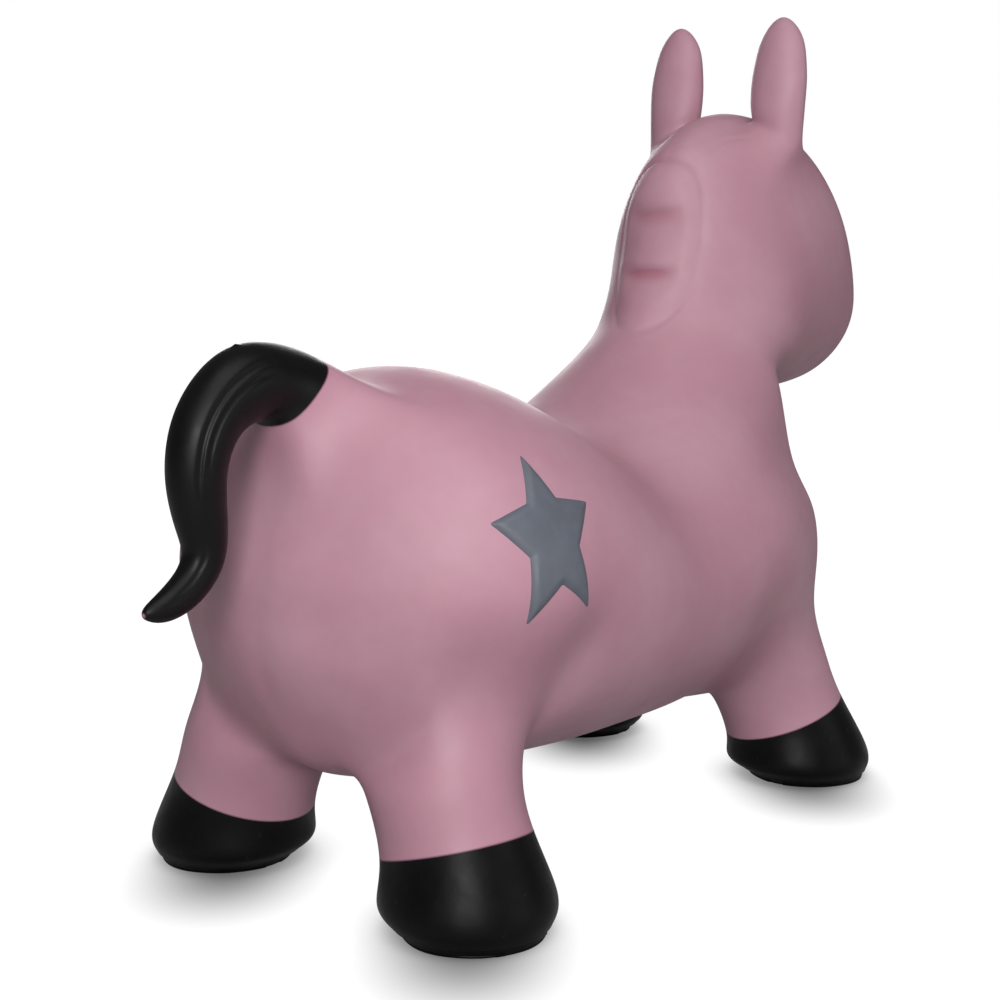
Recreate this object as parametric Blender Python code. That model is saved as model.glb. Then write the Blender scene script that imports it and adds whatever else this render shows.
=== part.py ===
"""Inflatable hopper horse, in metres, +Z up, +X forwards, +Y its left; the origin is on the floor at mid-length.

One cage of four-sided faces carries the whole skin: a drum of a body, four legs, a neck that turns into the
head, two ears and a tail. It is subdivided once, cut into its zones, and each zone becomes a thin hollow wall.
"""

import math

import bmesh
import bpy
import numpy as np
from mathutils import Matrix, Vector
from mathutils.bvhtree import BVHTree

# The body, neck and head
BODY_LENGTH = 0.400
BODY_WIDTH = 0.250
BACK_HEIGHT = 0.250
HEAD_HEIGHT = 0.160
HEAD_WIDTH = 0.120
WALL = 0.0020
SPLIT_GAP = 0.0003

# The legs and hooves
WHEELBASE = 0.3210
REAR_TRACK = 0.170
FRONT_TRACK = 0.172
LEG_TOP_HEIGHT = 0.064
HOOF_LINE_HEIGHT = 0.038
HOOF_WIDE_HEIGHT = 0.0145
REAR_ANKLE_DIAMETER = 0.072
FRONT_ANKLE_DIAMETER = 0.068
REAR_THIGH_PINCH = 0.019
FRONT_THIGH_PINCH = 0.007
HOOF_DIAMETER = 0.086
SOLE_DIAMETER = 0.077
SOLE_ROUNDING = 0.0055
SOLE_TRIM = 0.0015

# The ears and the tail
EAR_LENGTH = 0.095
EAR_WIDTH = 0.038
EAR_THICKNESS = 0.026
EAR_SPREAD = 0.0746
TAIL_LENGTH = 0.089
TAIL_DROP = 0.092
TAIL_THICKNESS = 0.043

# The stars, the eyes and the air valve
STAR_WIDTH = 0.0593
STAR_HEIGHT = 0.0833
STAR_RELIEF = 0.0010
EYE_DIAMETER = 0.018
EYE_RELIEF = 0.0012
VALVE_BORE = 0.0090
VALVE_SLEEVE_DIAMETER = 0.0150
VALVE_SLEEVE_LENGTH = 0.0140
VALVE_COLLAR_WIDTH = 0.0030
PLUG_HEAD_DIAMETER = 0.0160
PLUG_HEAD_THICKNESS = 0.0025
PLUG_STEM_LENGTH = 0.0180
FIT_CLEARANCE = 0.0003

SPINE_SIDES = 16
LEG_SIDES = 12
LIMB_SIDES = 8
STAR_POINTS = 5
EYE_SIDES = 16
TURNED_SIDES = 24

# Each ring of the body drum: its place along the body, its top and bottom as shares of the back's height,
# its half width as a share of the body's width, and how far its upper half is pinched.
BODY_RING_SHARES = (
    (-0.498, 0.830, 0.380, 0.235, 0.06),
    (-0.458, 0.950, 0.275, 0.355, 0.06),
    (-0.392, 1.015, 0.232, 0.452, 0.05),
    (-0.325, 1.033, 0.218, 0.490, 0.06),
    (-0.250, 1.028, 0.212, 0.500, 0.06),
    (-0.140, 0.973, 0.206, 0.492, 0.06),
    (-0.025, 0.890, 0.206, 0.474, 0.06),
    (0.080, 0.895, 0.200, 0.462, 0.05),
    (0.195, 0.955, 0.190, 0.455, 0.02),
    (0.290, 0.950, 0.195, 0.430, -0.01),
    (0.385, 0.920, 0.213, 0.382, 0.03),
    (0.463, 0.850, 0.252, 0.310, 0.03),
    (0.506, 0.690, 0.340, 0.214, 0.05),
)
# Where each point of a body ring stands, in degrees from the top, down the left side
BODY_COLUMN_DEGREES = (0, 25, 51, 72, 93, 118, 144, 168, 180)
END_BULGE_SHARE = 0.035

# Each ring of the neck and head: the nape's place along the body and up the head's rise, the throat's
# place in the same two measures, the half width as a share of the head's width, and how far the nape's
# side is pinched.
NECK_RING_SHARES = (
    (0.206, 0.080, 0.474, -0.175, 0.562, 0.18),
    (0.256, 0.250, 0.477, -0.105, 0.490, 0.20),
    (0.286, 0.480, 0.496, -0.080, 0.492, 0.28),
    (0.300, 0.690, 0.542, -0.095, 0.508, 0.25),
    (0.366, 0.875, 0.590, -0.108, 0.508, 0.12),
    (0.468, 0.975, 0.628, -0.118, 0.505, 0.02),
    (0.588, 0.950, 0.672, -0.108, 0.477, 0.00),
    (0.659, 0.808, 0.710, -0.090, 0.437, 0.00),
    (0.700, 0.570, 0.745, -0.036, 0.388, 0.00),
    (0.748, 0.385, 0.767, 0.078, 0.290, 0.00),
)
# Where each point of a neck ring stands, in degrees from the nape, down the left side
NECK_COLUMN_DEGREES = (0, 14, 34, 56, 80, 104, 128, 154, 180)
NOSE_BULGE_SHARE = 0.033

HOOVES_MIDDLE_SHARE = 0.0050
THIGH_DOWN_SHARE = 0.5
# The ankle's flare into the leg, and how far the hoof's widest ring is tilted with the leg
ANKLE_FLARE_SHARE = 1.02
HOOF_TILT_SHARE = 0.2
# How far a leg leans out and forwards for each step down, for the rear and the front pair
REAR_LEAN_SHARES = (0.32, -0.06)
FRONT_LEAN_SHARES = (0.26, 0.30)

# Each ring of an ear: height, width and thickness as shares of the ear's own, its lean forwards, and how
# steeply its outer side hangs down
EAR_RING_SHARES = (
    (0.10, 0.90, 1.18, 0.00, 0.55),
    (0.21, 0.92, 1.06, 0.00, 0.28),
    (0.38, 0.98, 0.98, 0.01, 0.00),
    (0.58, 0.90, 0.88, 0.03, 0.00),
    (0.75, 0.68, 0.70, 0.05, 0.00),
)
EAR_BASE_RINGS = 1
EAR_TIP_SHARE = 0.15

# Each ring of the tail: its place behind and above the root, and its diameter as a share of the root's
TAIL_RING_SHARES = (
    (0.000, 0.000, 1.00),
    (0.245, 0.060, 0.86),
    (0.455, -0.020, 0.78),
    (0.595, -0.180, 0.715),
    (0.646, -0.395, 0.655),
    (0.619, -0.615, 0.565),
    (0.614, -0.775, 0.472),
    (0.711, -0.905, 0.41),
    (0.866, -0.985, 0.32),
    (0.966, -1.000, 0.17),
)
TAIL_FLATNESS_SHARE = 0.92
TAIL_TIP_SHARE = 0.4
TAIL_ROOT_RINGS = 1
TAIL_ROOT_BACK_SHARE = -0.475
TAIL_ROOT_HEIGHT_SHARE = 1.002

# Places on the skin, as shares: along the body and up the back's height, or up the head's rise
STAR_PLACE_SHARES = (-0.342, 0.742)
STAR_TURN = math.radians(3.8)
STAR_INNER_SHARE = 0.50
PLATE_PATCH_SCALE = 1.6
PLUG_EDGE_SHARE = 0.33
PLUG_TIP_SHARE = 0.85
EYE_PLACE_SHARES = (0.700, 0.520)
VALVE_PLACE_SHARE = -0.060

CAP_ROUNDING_SHARE = 0.15
FOLD_WALL_SHARE = 0.3
INTERPOLATION_PASSES = 2
SHARP_ANGLE = math.radians(50)
ZONES = (
    "body_skin",
    "leg_front_left",
    "leg_front_right",
    "leg_rear_left",
    "leg_rear_right",
    "hoof_front_left",
    "hoof_front_right",
    "hoof_rear_left",
    "hoof_rear_right",
    "ear_base_left",
    "ear_base_right",
    "ear_left",
    "ear_right",
    "tail_root",
    "tail",
)

PINK = (0.55, 0.31, 0.38)
BLACK = (0.012, 0.012, 0.013)
GREY = (0.11, 0.14, 0.17)
PALE = (0.75, 0.72, 0.70)
SKIN_ROUGHNESS = 0.55
PAINT_ROUGHNESS = 0.35
STAR_ROUGHNESS = 0.50
EYE_ROUGHNESS = 0.25
PLUG_ROUGHNESS = 0.40


class Cage:
    """The points and four-sided faces of the skin, with a zone name for each face.

    The smooth surface passes near each point, except the slack ones, past which it takes its own course.
    """

    def __init__(self):
        self.points = []
        self.faces = []
        self.zones = []
        self.slack = set()

    def ring(self, places):
        """Adds the places as points and returns their numbers."""
        first = len(self.points)
        self.points.extend(places)
        return list(range(first, len(self.points)))

    def face(self, corners, zone):
        self.faces.append(tuple(corners))
        self.zones.append(zone)

    def bridge(self, lower, upper, zone):
        """Joins two rings of as many points by a band of faces."""
        count = len(lower)
        for index in range(count):
            after = (index + 1) % count
            self.face((lower[index], lower[after], upper[after], upper[index]), zone)

    def cap(self, ring, zone, apex_shift, start=0):
        """Closes a ring by a square patch of faces, whose inner points are drawn from the rim and shifted."""
        side = len(ring) // 4
        turned = ring[start:] + ring[:start]
        rows = [[None] * (side + 1) for _ in range(side + 1)]
        for step in range(side):
            rows[0][step] = turned[step]
            rows[step][side] = turned[side + step]
            rows[side][side - step] = turned[2 * side + step]
            rows[side - step][0] = turned[3 * side + step]
        rim = [Vector(self.points[number]) for number in ring]
        middle = sum(rim, Vector()) / len(rim)
        for row in range(1, side):
            for column in range(1, side):
                across = column / side
                down = row / side
                place = (
                    Vector(self.points[rows[row][0]]) * (1 - across)
                    + Vector(self.points[rows[row][side]]) * across
                    + Vector(self.points[rows[0][column]]) * (1 - down)
                    + Vector(self.points[rows[side][column]]) * down
                ) / 2
                reach = max(abs(2 * across - 1), abs(2 * down - 1))
                place = place.lerp(middle, CAP_ROUNDING_SHARE * (1 - reach))
                place += apex_shift * (1 - reach * reach / 2)
                rows[row][column] = self.ring([place])[0]
        for row in range(side):
            for column in range(side):
                self.face(
                    (rows[row][column], rows[row][column + 1], rows[row + 1][column + 1], rows[row + 1][column]),
                    zone,
                )


def even_angles(sides):
    return [2 * math.pi * index / sides for index in range(sides)]


def mirrored_angles(degrees):
    """Angles down the left side and back up the right one."""
    left = [math.radians(value) for value in degrees]
    return left + [2 * math.pi - angle for angle in left[-2:0:-1]]


def oval_ring(top, bottom, half_width, angles, pinch=0):
    """Points of an oval from its top and bottom points in the midplane, first point at the top.

    A pinch makes the oval narrow towards its top and full towards its bottom.
    """
    middle = (top + bottom) / 2
    half = (top - bottom) / 2
    widths = [half_width * math.sin(a) * (1 - pinch * math.cos(a)) for a in angles]
    return [middle + half * math.cos(a) + Vector((0, y, 0)) for a, y in zip(angles, widths)]


def leg_ring(centre, diameter, lean, tilt):
    """Points round a leg. A tilt of one sets the ring square to the leg's lean, and nought lays it flat."""
    outward, forward = lean
    side = math.copysign(1, centre.y)
    places = []
    for index in range(LEG_SIDES):
        angle = math.radians(225) - 2 * math.pi * index / LEG_SIDES
        ahead = diameter / 2 * math.sin(angle)
        out = -diameter / 2 * math.cos(angle)
        rise = tilt * (outward * out + forward * ahead)
        places.append(centre + Vector((ahead, side * out, rise)))
    return places


def block_rim(rings, rows, columns):
    """Numbers round the rim of a block of the loft, from its first row and column on, the column first."""
    first_row, last_row = rows
    count = len(rings[0])
    inside = list(columns)
    rim = [rings[row][inside[0] % count] for row in range(first_row, last_row)]
    rim += [rings[last_row][column % count] for column in inside[:-1]]
    rim += [rings[row][inside[-1] % count] for row in range(last_row, first_row, -1)]
    rim += [rings[first_row][column % count] for column in reversed(inside[1:])]
    return rim


def make_cage():
    cage = Cage()
    body = []
    angles = mirrored_angles(BODY_COLUMN_DEGREES)
    for place, top, bottom, width, pinch in BODY_RING_SHARES:
        along = place * BODY_LENGTH
        high = Vector((along, 0, top * BACK_HEIGHT))
        low = Vector((along, 0, bottom * BACK_HEIGHT))
        body.append(cage.ring(oval_ring(high, low, width * BODY_WIDTH, angles, pinch)))
    leg_rows = {"rear": (1, 4), "front": (8, 11)}
    leg_columns = {"left": (4, 5, 6, 7), "right": (12, 11, 10, 9)}
    neck_rows = (7, 11)
    tail_rows = (0, 2)
    open_faces = set()
    for rows in leg_rows.values():
        for column in (4, 5, 6, 9, 10, 11):
            open_faces |= {(row, column) for row in range(*rows)}
    open_faces |= {(row, column) for row in range(*neck_rows) for column in (14, 15, 0, 1)}
    open_faces |= {(row, column) for row in range(*tail_rows) for column in (15, 0)}
    for row in range(len(body) - 1):
        for column in range(SPINE_SIDES):
            if (row, column) in open_faces:
                continue
            after = (column + 1) % SPINE_SIDES
            corners = (body[row][column], body[row][after], body[row + 1][after], body[row + 1][column])
            cage.face(corners, "body_skin")
    cage.cap(body[0], "body_skin", Vector((-END_BULGE_SHARE * BODY_LENGTH, 0, 0)), start=2)
    cage.cap(body[-1], "body_skin", Vector((END_BULGE_SHARE * BODY_LENGTH, 0, 0)), start=2)
    for end, rows in leg_rows.items():
        for hand, columns in leg_columns.items():
            add_leg(cage, block_rim(body, rows, columns), end, hand)
    neck_rim = block_rim(body, neck_rows, (-2, -1, 0, 1, 2))
    add_head(cage, neck_rim)
    add_tail(cage, block_rim(body, tail_rows, (-1, 0, 1)))
    return cage


def add_leg(cage, rim, end, hand):
    """A leg from its hole in the body down to the flat sole."""
    side = 1 if hand == "left" else -1
    lean = REAR_LEAN_SHARES if end == "rear" else FRONT_LEAN_SHARES
    pinch = REAR_THIGH_PINCH if end == "rear" else FRONT_THIGH_PINCH
    ankle = REAR_ANKLE_DIAMETER if end == "rear" else FRONT_ANKLE_DIAMETER
    outward, forward = lean
    track = REAR_TRACK if end == "rear" else FRONT_TRACK
    middle = HOOVES_MIDDLE_SHARE * BODY_LENGTH
    sole = Vector((middle + WHEELBASE / 2 * (-1 if end == "rear" else 1), side * track / 2, 0))

    def at(height, diameter, tilt):
        centre = sole + Vector((-forward * height, -side * outward * height, height))
        return cage.ring(leg_ring(centre, diameter, lean, tilt))

    top = at(LEG_TOP_HEIGHT, ankle * ANKLE_FLARE_SHARE, 1)
    line = at(HOOF_LINE_HEIGHT, ankle, 1)
    wide = at(HOOF_WIDE_HEIGHT, HOOF_DIAMETER, HOOF_TILT_SHARE)
    edge = at(SOLE_ROUNDING, SOLE_DIAMETER, 0)
    flat = at(-SOLE_TRIM, SOLE_DIAMETER - 2 * SOLE_ROUNDING, 0)
    leg_zone = f"leg_{end}_{hand}"
    hoof_zone = f"hoof_{end}_{hand}"
    thigh = []
    for upper, lower in zip(rim, top):
        place = Vector(cage.points[upper]).lerp(Vector(cage.points[lower]), THIGH_DOWN_SHARE)
        away = Vector((place.x - sole.x, place.y - side * track / 2 * (1 - outward), 0)).normalized()
        facing = 1 if end == "front" else max(side * away.y, 0)
        thigh.append(place - away * pinch * facing)
    thigh = cage.ring(thigh)
    # Only the hole's upper edge, which comes first in the rim, is held, so the leg flows into the body
    cage.slack.update(thigh)
    cage.slack.update(rim[LEG_SIDES // 4 :])
    cage.bridge(rim, thigh, "body_skin")
    cage.bridge(thigh, top, "body_skin")
    cage.bridge(top, line, leg_zone)
    cage.bridge(line, wide, hoof_zone)
    cage.bridge(wide, edge, hoof_zone)
    cage.bridge(edge, flat, hoof_zone)
    cage.cap(flat, hoof_zone, Vector())


def add_head(cage, rim):
    """The neck and head, which leave the body by a square hole, and the ears on top."""
    rings = []
    angles = mirrored_angles(NECK_COLUMN_DEGREES)
    for nape_x, nape_z, throat_x, throat_z, width, pinch in NECK_RING_SHARES:
        nape = Vector((nape_x * BODY_LENGTH, 0, BACK_HEIGHT + nape_z * HEAD_HEIGHT))
        throat = Vector((throat_x * BODY_LENGTH, 0, BACK_HEIGHT + throat_z * HEAD_HEIGHT))
        rings.append(cage.ring(oval_ring(nape, throat, width * HEAD_WIDTH, angles, pinch)))
    turned = match_start(cage, rim, rings[0])
    cage.bridge(turned, rings[0], "body_skin")
    ear_rows = (4, 6)
    open_faces = {(row, column) for row in range(*ear_rows) for column in (1, 2, 13, 14)}
    for row in range(len(rings) - 1):
        for column in range(SPINE_SIDES):
            if (row, column) in open_faces:
                continue
            after = (column + 1) % SPINE_SIDES
            corners = (rings[row][column], rings[row][after], rings[row + 1][after], rings[row + 1][column])
            cage.face(corners, "body_skin")
    cage.cap(rings[-1], "body_skin", Vector((NOSE_BULGE_SHARE * BODY_LENGTH, 0, 0)), start=2)
    for hand, columns in (("left", (1, 2, 3)), ("right", (15, 14, 13))):
        add_ear(cage, block_rim(rings, ear_rows, columns), hand)


def match_start(cage, ring, other):
    """The ring's numbers, turned and if need be reversed, so that each lies nearest its fellow in the other."""
    best = None
    for order in (ring, ring[::-1]):
        for shift in range(len(order)):
            turned = order[shift:] + order[:shift]
            pairs = zip(turned, other)
            spread = sum((Vector(cage.points[a]) - Vector(cage.points[b])).length_squared for a, b in pairs)
            if best is None or spread < best[0]:
                best = (spread, turned)
    return best[1]


def add_ear(cage, rim, hand):
    side = 1 if hand == "left" else -1
    root = sum((Vector(cage.points[number]) for number in rim), Vector()) / len(rim)
    root.y = side * EAR_SPREAD / 2
    rings = []
    for height, width, thickness, lean, droop in EAR_RING_SHARES:
        centre = root + Vector((lean * EAR_LENGTH, 0, height * EAR_LENGTH))
        ahead = Vector((EAR_THICKNESS / 2 * thickness, 0, 0))
        out = Vector((0, side, -droop)) * EAR_WIDTH / 2 * width
        angles = even_angles(LIMB_SIDES)
        rings.append(cage.ring([centre + ahead * math.cos(a) + out * math.sin(a) for a in angles]))
    cage.bridge(match_start(cage, rim, rings[0]), rings[0], "body_skin")
    for row in range(len(rings) - 1):
        zone = f"ear_base_{hand}" if row < EAR_BASE_RINGS else f"ear_{hand}"
        cage.bridge(rings[row], rings[row + 1], zone)
    tip_rise = Vector((0, 0, EAR_LENGTH * EAR_TIP_SHARE))
    cage.cap(rings[-1], f"ear_{hand}", tip_rise, start=1)


def tail_places():
    """The tail's middle line, from the root to the tip, with its diameters."""
    root = Vector((TAIL_ROOT_BACK_SHARE * BODY_LENGTH, 0, TAIL_ROOT_HEIGHT_SHARE * BACK_HEIGHT))
    return [
        (root + Vector((-back * TAIL_LENGTH, 0, up * TAIL_DROP)), share * TAIL_THICKNESS)
        for back, up, share in TAIL_RING_SHARES
    ]


def add_tail(cage, rim):
    places = tail_places()
    centres = [centre for centre, _ in places]
    # The root's ring is square to a line that leaves the back aslant, the others to the middle line
    alongs = [Vector((-1, 0, 1))]
    alongs += [after - before for before, after in zip(centres, centres[2:])]
    alongs.append(centres[-1] - centres[-2])
    rings = []
    for (centre, diameter), along in zip(places, alongs):
        across = Vector((along.z, 0, -along.x)).normalized()
        half = across * diameter / 2
        width = diameter / 2 * TAIL_FLATNESS_SHARE
        rings.append(cage.ring(oval_ring(centre + half, centre - half, width, even_angles(LIMB_SIDES))))
    cage.bridge(match_start(cage, rim, rings[0]), rings[0], "body_skin")
    for row in range(len(rings) - 1):
        zone = "tail_root" if row < TAIL_ROOT_RINGS else "tail"
        cage.bridge(match_start(cage, rings[row], rings[row + 1]), rings[row + 1], zone)
    tip = (places[-1][0] - places[-2][0]) * TAIL_TIP_SHARE
    cage.cap(rings[-1], "tail", tip, start=1)


def limit_places(points, faces):
    """Where smooth subdivision of four-sided faces takes each cage point."""
    count = len(points)
    edge_sum = np.zeros((count, 3))
    face_sum = np.zeros((count, 3))
    valence = np.zeros(count)
    for step in range(4):
        corner = faces[:, step]
        np.add.at(edge_sum, corner, points[faces[:, (step + 1) % 4]] + points[faces[:, (step + 3) % 4]])
        np.add.at(face_sum, corner, points[faces[:, (step + 2) % 4]])
        np.add.at(valence, corner, 1)
    n = valence[:, None]
    # Each edge is met twice, once from each of its two faces
    return (n * n * points + 2 * edge_sum + face_sum) / (n * (n + 5))


def smooth_skin(cage, levels=1):
    """The cage, moved out until its smooth surface passes near the chosen places, and subdivided once."""
    used = sorted({number for face in cage.faces for number in face})
    wanted = np.array([tuple(cage.points[number]) for number in used])
    faces = np.searchsorted(used, np.array(cage.faces))
    firm = np.array([number not in cage.slack for number in used])
    points = wanted.copy()
    for _ in range(INTERPOLATION_PASSES):
        points[firm] += (wanted - limit_places(points, faces))[firm]
    mesh = bpy.data.meshes.new("cage")
    mesh.from_pydata(points.tolist(), [], faces.tolist())
    for polygon, zone in zip(mesh.polygons, cage.zones):
        polygon.material_index = ZONES.index(zone)
    for zone in ZONES:
        mesh.materials.append(bpy.data.materials.new(zone))
    bm = bmesh.new()
    bm.from_mesh(mesh)
    bmesh.ops.recalc_face_normals(bm, faces=bm.faces)
    bm.to_mesh(mesh)
    bm.free()
    guide = bpy.data.objects.new("cage", mesh)
    bpy.context.collection.objects.link(guide)
    modifier = guide.modifiers.new("smooth", "SUBSURF")
    modifier.levels = levels
    modifier.render_levels = levels
    graph = bpy.context.evaluated_depsgraph_get()
    smooth = bpy.data.meshes.new_from_object(guide.evaluated_get(graph))
    bpy.data.objects.remove(guide)
    bpy.data.meshes.remove(mesh)
    return smooth


def principled(name, colour, roughness):
    material = bpy.data.materials.new(name)
    material.use_nodes = True
    shader = material.node_tree.nodes["Principled BSDF"]
    shader.inputs["Base Color"].default_value = (*colour, 1)
    shader.inputs["Roughness"].default_value = roughness
    shader.inputs["Metallic"].default_value = 0
    return material


def add_object(name, mesh, colour, roughness, pivot=Vector(), parent=None):
    """An object of this mesh, whose origin is moved to the pivot."""
    mesh.transform(Matrix.Translation(-pivot))
    mesh.name = name
    mesh.materials.clear()
    mesh.materials.append(principled(name, colour, roughness))
    for polygon in mesh.polygons:
        polygon.material_index = 0
    mesh.shade_smooth()
    mesh.set_sharp_from_angle(angle=SHARP_ANGLE)
    part = bpy.data.objects.new(name, mesh)
    bpy.context.collection.objects.link(part)
    part.location = pivot
    part.parent = parent
    return part


def wall_depths(points, normals, tree):
    """The wall at each point: the full wall, or less where the skin folds back close behind it."""
    depths = []
    for place, normal in zip(points, normals):
        start = place - normal * (WALL / 10)
        distance = tree.ray_cast(start, -normal)[3]
        depths.append(WALL if distance is None else min(WALL, distance * FOLD_WALL_SHARE))
    return depths


def shell_mesh(skin, polygons, rise, sink, pull):
    """The closed wall between the chosen faces lifted by the rises and by the sinks, its rim drawn back."""
    used = sorted({number for polygon in polygons for number in polygon.vertices})
    edge_uses = {}
    for polygon in polygons:
        for edge in polygon.edge_keys:
            edge_uses[edge] = edge_uses.get(edge, 0) + 1
    rim = {number for edge, uses in edge_uses.items() if uses == 1 for number in edge}
    inward = {number: Vector() for number in rim}
    for edge in edge_uses:
        for here, there in (edge, edge[::-1]):
            if here in rim and there not in rim:
                inward[here] += skin.vertices[there].co - skin.vertices[here].co
    bm = bmesh.new()
    outer = {}
    inner = {}
    for number in used:
        vertex = skin.vertices[number]
        place = vertex.co.copy()
        if number in rim:
            place += inward[number].normalized() * pull
        outer[number] = bm.verts.new(place + vertex.normal * rise[number])
        inner[number] = bm.verts.new(place + vertex.normal * sink[number])
    for polygon in polygons:
        loop = list(polygon.vertices)
        bm.faces.new([outer[number] for number in loop])
        bm.faces.new([inner[number] for number in loop[:1] + loop[:0:-1]])
        for here, there in zip(loop, loop[1:] + loop[:1]):
            # Two zones that meet split the face between them along the same diagonal
            first, last = min(here, there), max(here, there)
            if edge_uses[first, last] == 1:
                bm.faces.new((outer[there], outer[here], inner[last]))
                bm.faces.new((inner[here], inner[there], outer[first]))
    # Every face is split from its first corner, so that a plate's underside runs even with the skin below
    bmesh.ops.triangulate(bm, faces=bm.faces, quad_method="FIXED")
    mesh = bpy.data.meshes.new("shell")
    bm.to_mesh(mesh)
    bm.free()
    return mesh


def zone_shell(skin, depths, zone):
    """The hollow wall of one zone, drawn back by half the split gap where it meets another."""
    index = ZONES.index(zone)
    chosen = [polygon for polygon in skin.polygons if polygon.material_index == index]
    return shell_mesh(skin, chosen, [0] * len(depths), [-depth for depth in depths], SPLIT_GAP / 2)


def zone_middle(skin, zone):
    """The mean place of a zone's points."""
    index = ZONES.index(zone)
    numbers = {number for polygon in skin.polygons if polygon.material_index == index for number in polygon.vertices}
    return sum((skin.vertices[number].co for number in numbers), Vector()) / len(numbers)


def star_outline(side):
    """The star's corners in its own plane, the first one at the top tip, leaning back."""
    corners = []
    for index in range(2 * STAR_POINTS):
        reach = STAR_INNER_SHARE if index % 2 else 1
        angle = math.pi * index / STAR_POINTS + side * STAR_TURN
        across = STAR_WIDTH / 2 * math.sin(angle)
        upward = STAR_HEIGHT / 2 * math.cos(angle)
        corners.append(Vector((across, upward)) * reach)
    return corners


def round_outline(diameter, sides):
    return [Vector((math.sin(a), math.cos(a))) * diameter / 2 for a in even_angles(sides)]


def prism_mesh(outline, height):
    """A closed block of the outline, half its height to each side of the outline's plane."""
    bm = bmesh.new()
    low = [bm.verts.new((*corner, -height / 2)) for corner in outline]
    high = [bm.verts.new((*corner, height / 2)) for corner in outline]
    bm.faces.new(low[::-1])
    bm.faces.new(high)
    for index in range(len(outline)):
        after = (index + 1) % len(outline)
        bm.faces.new((low[index], low[after], high[after], high[index]))
    bmesh.ops.recalc_face_normals(bm, faces=bm.faces)
    mesh = bpy.data.meshes.new("prism")
    bm.to_mesh(mesh)
    bm.free()
    return mesh


def add_cut(part, cutter_name, cutter_mesh, operation):
    """Cuts the part by a hidden closed mesh, or keeps only what lies inside it, and returns the cutter."""
    cutter = bpy.data.objects.new(cutter_name, cutter_mesh)
    bpy.context.collection.objects.link(cutter)
    cutter.hide_render = True
    cutter.display_type = "WIRE"
    cut = part.modifiers.new(cutter_name, "BOOLEAN")
    cut.object = cutter
    cut.operation = operation
    cut.solver = "EXACT"
    return cutter


def add_plate(name, skin, tree, place, outline, relief, colour, roughness):
    """A raised plate of the outline's shape, everywhere as far off the skin as the split gap."""
    side = math.copysign(1, place.y)
    centre, normal, _, _ = tree.ray_cast(place, Vector((0, -side, 0)))
    reach = max(corner.length for corner in outline) * PLATE_PATCH_SCALE
    near = [polygon for polygon in skin.polygons if (polygon.center - centre).length < reach]
    count = len(skin.vertices)
    patch = shell_mesh(skin, near, [SPLIT_GAP + relief] * count, [SPLIT_GAP] * count, 0)
    plate = add_object(name, patch, colour, roughness)
    upward = (Vector((0, 0, 1)) - normal * normal.z).normalized()
    ahead = upward.cross(normal)
    turned = Matrix((ahead, upward, normal)).transposed().to_4x4()
    cutter = add_cut(plate, name + "_cutter", prism_mesh(outline, reach), "INTERSECT")
    cutter.matrix_world = Matrix.Translation(centre) @ turned


def turned_mesh(profile, middle):
    """A solid turned about the upright line through the middle, from (radius, height) points."""
    bm = bmesh.new()
    rows = []
    for radius, height in profile:
        if radius:
            turn = [(radius * math.cos(a), radius * math.sin(a)) for a in even_angles(TURNED_SIDES)]
            places = [(middle.x + x, middle.y + y, height) for x, y in turn]
        else:
            places = [(middle.x, middle.y, height)]
        rows.append([bm.verts.new(place) for place in places])
    closed = profile[0][0] != 0
    pairs = list(zip(rows, rows[1:] + rows[:1])) if closed else list(zip(rows, rows[1:]))
    for lower, upper in pairs:
        for index in range(TURNED_SIDES):
            after = (index + 1) % TURNED_SIDES
            if len(lower) == 1:
                bm.faces.new((lower[0], upper[after], upper[index]))
            elif len(upper) == 1:
                bm.faces.new((lower[index], lower[after], upper[0]))
            else:
                bm.faces.new((lower[index], lower[after], upper[after], upper[index]))
    bmesh.ops.recalc_face_normals(bm, faces=bm.faces)
    mesh = bpy.data.meshes.new("turned")
    bm.to_mesh(mesh)
    bm.free()
    return mesh


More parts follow.
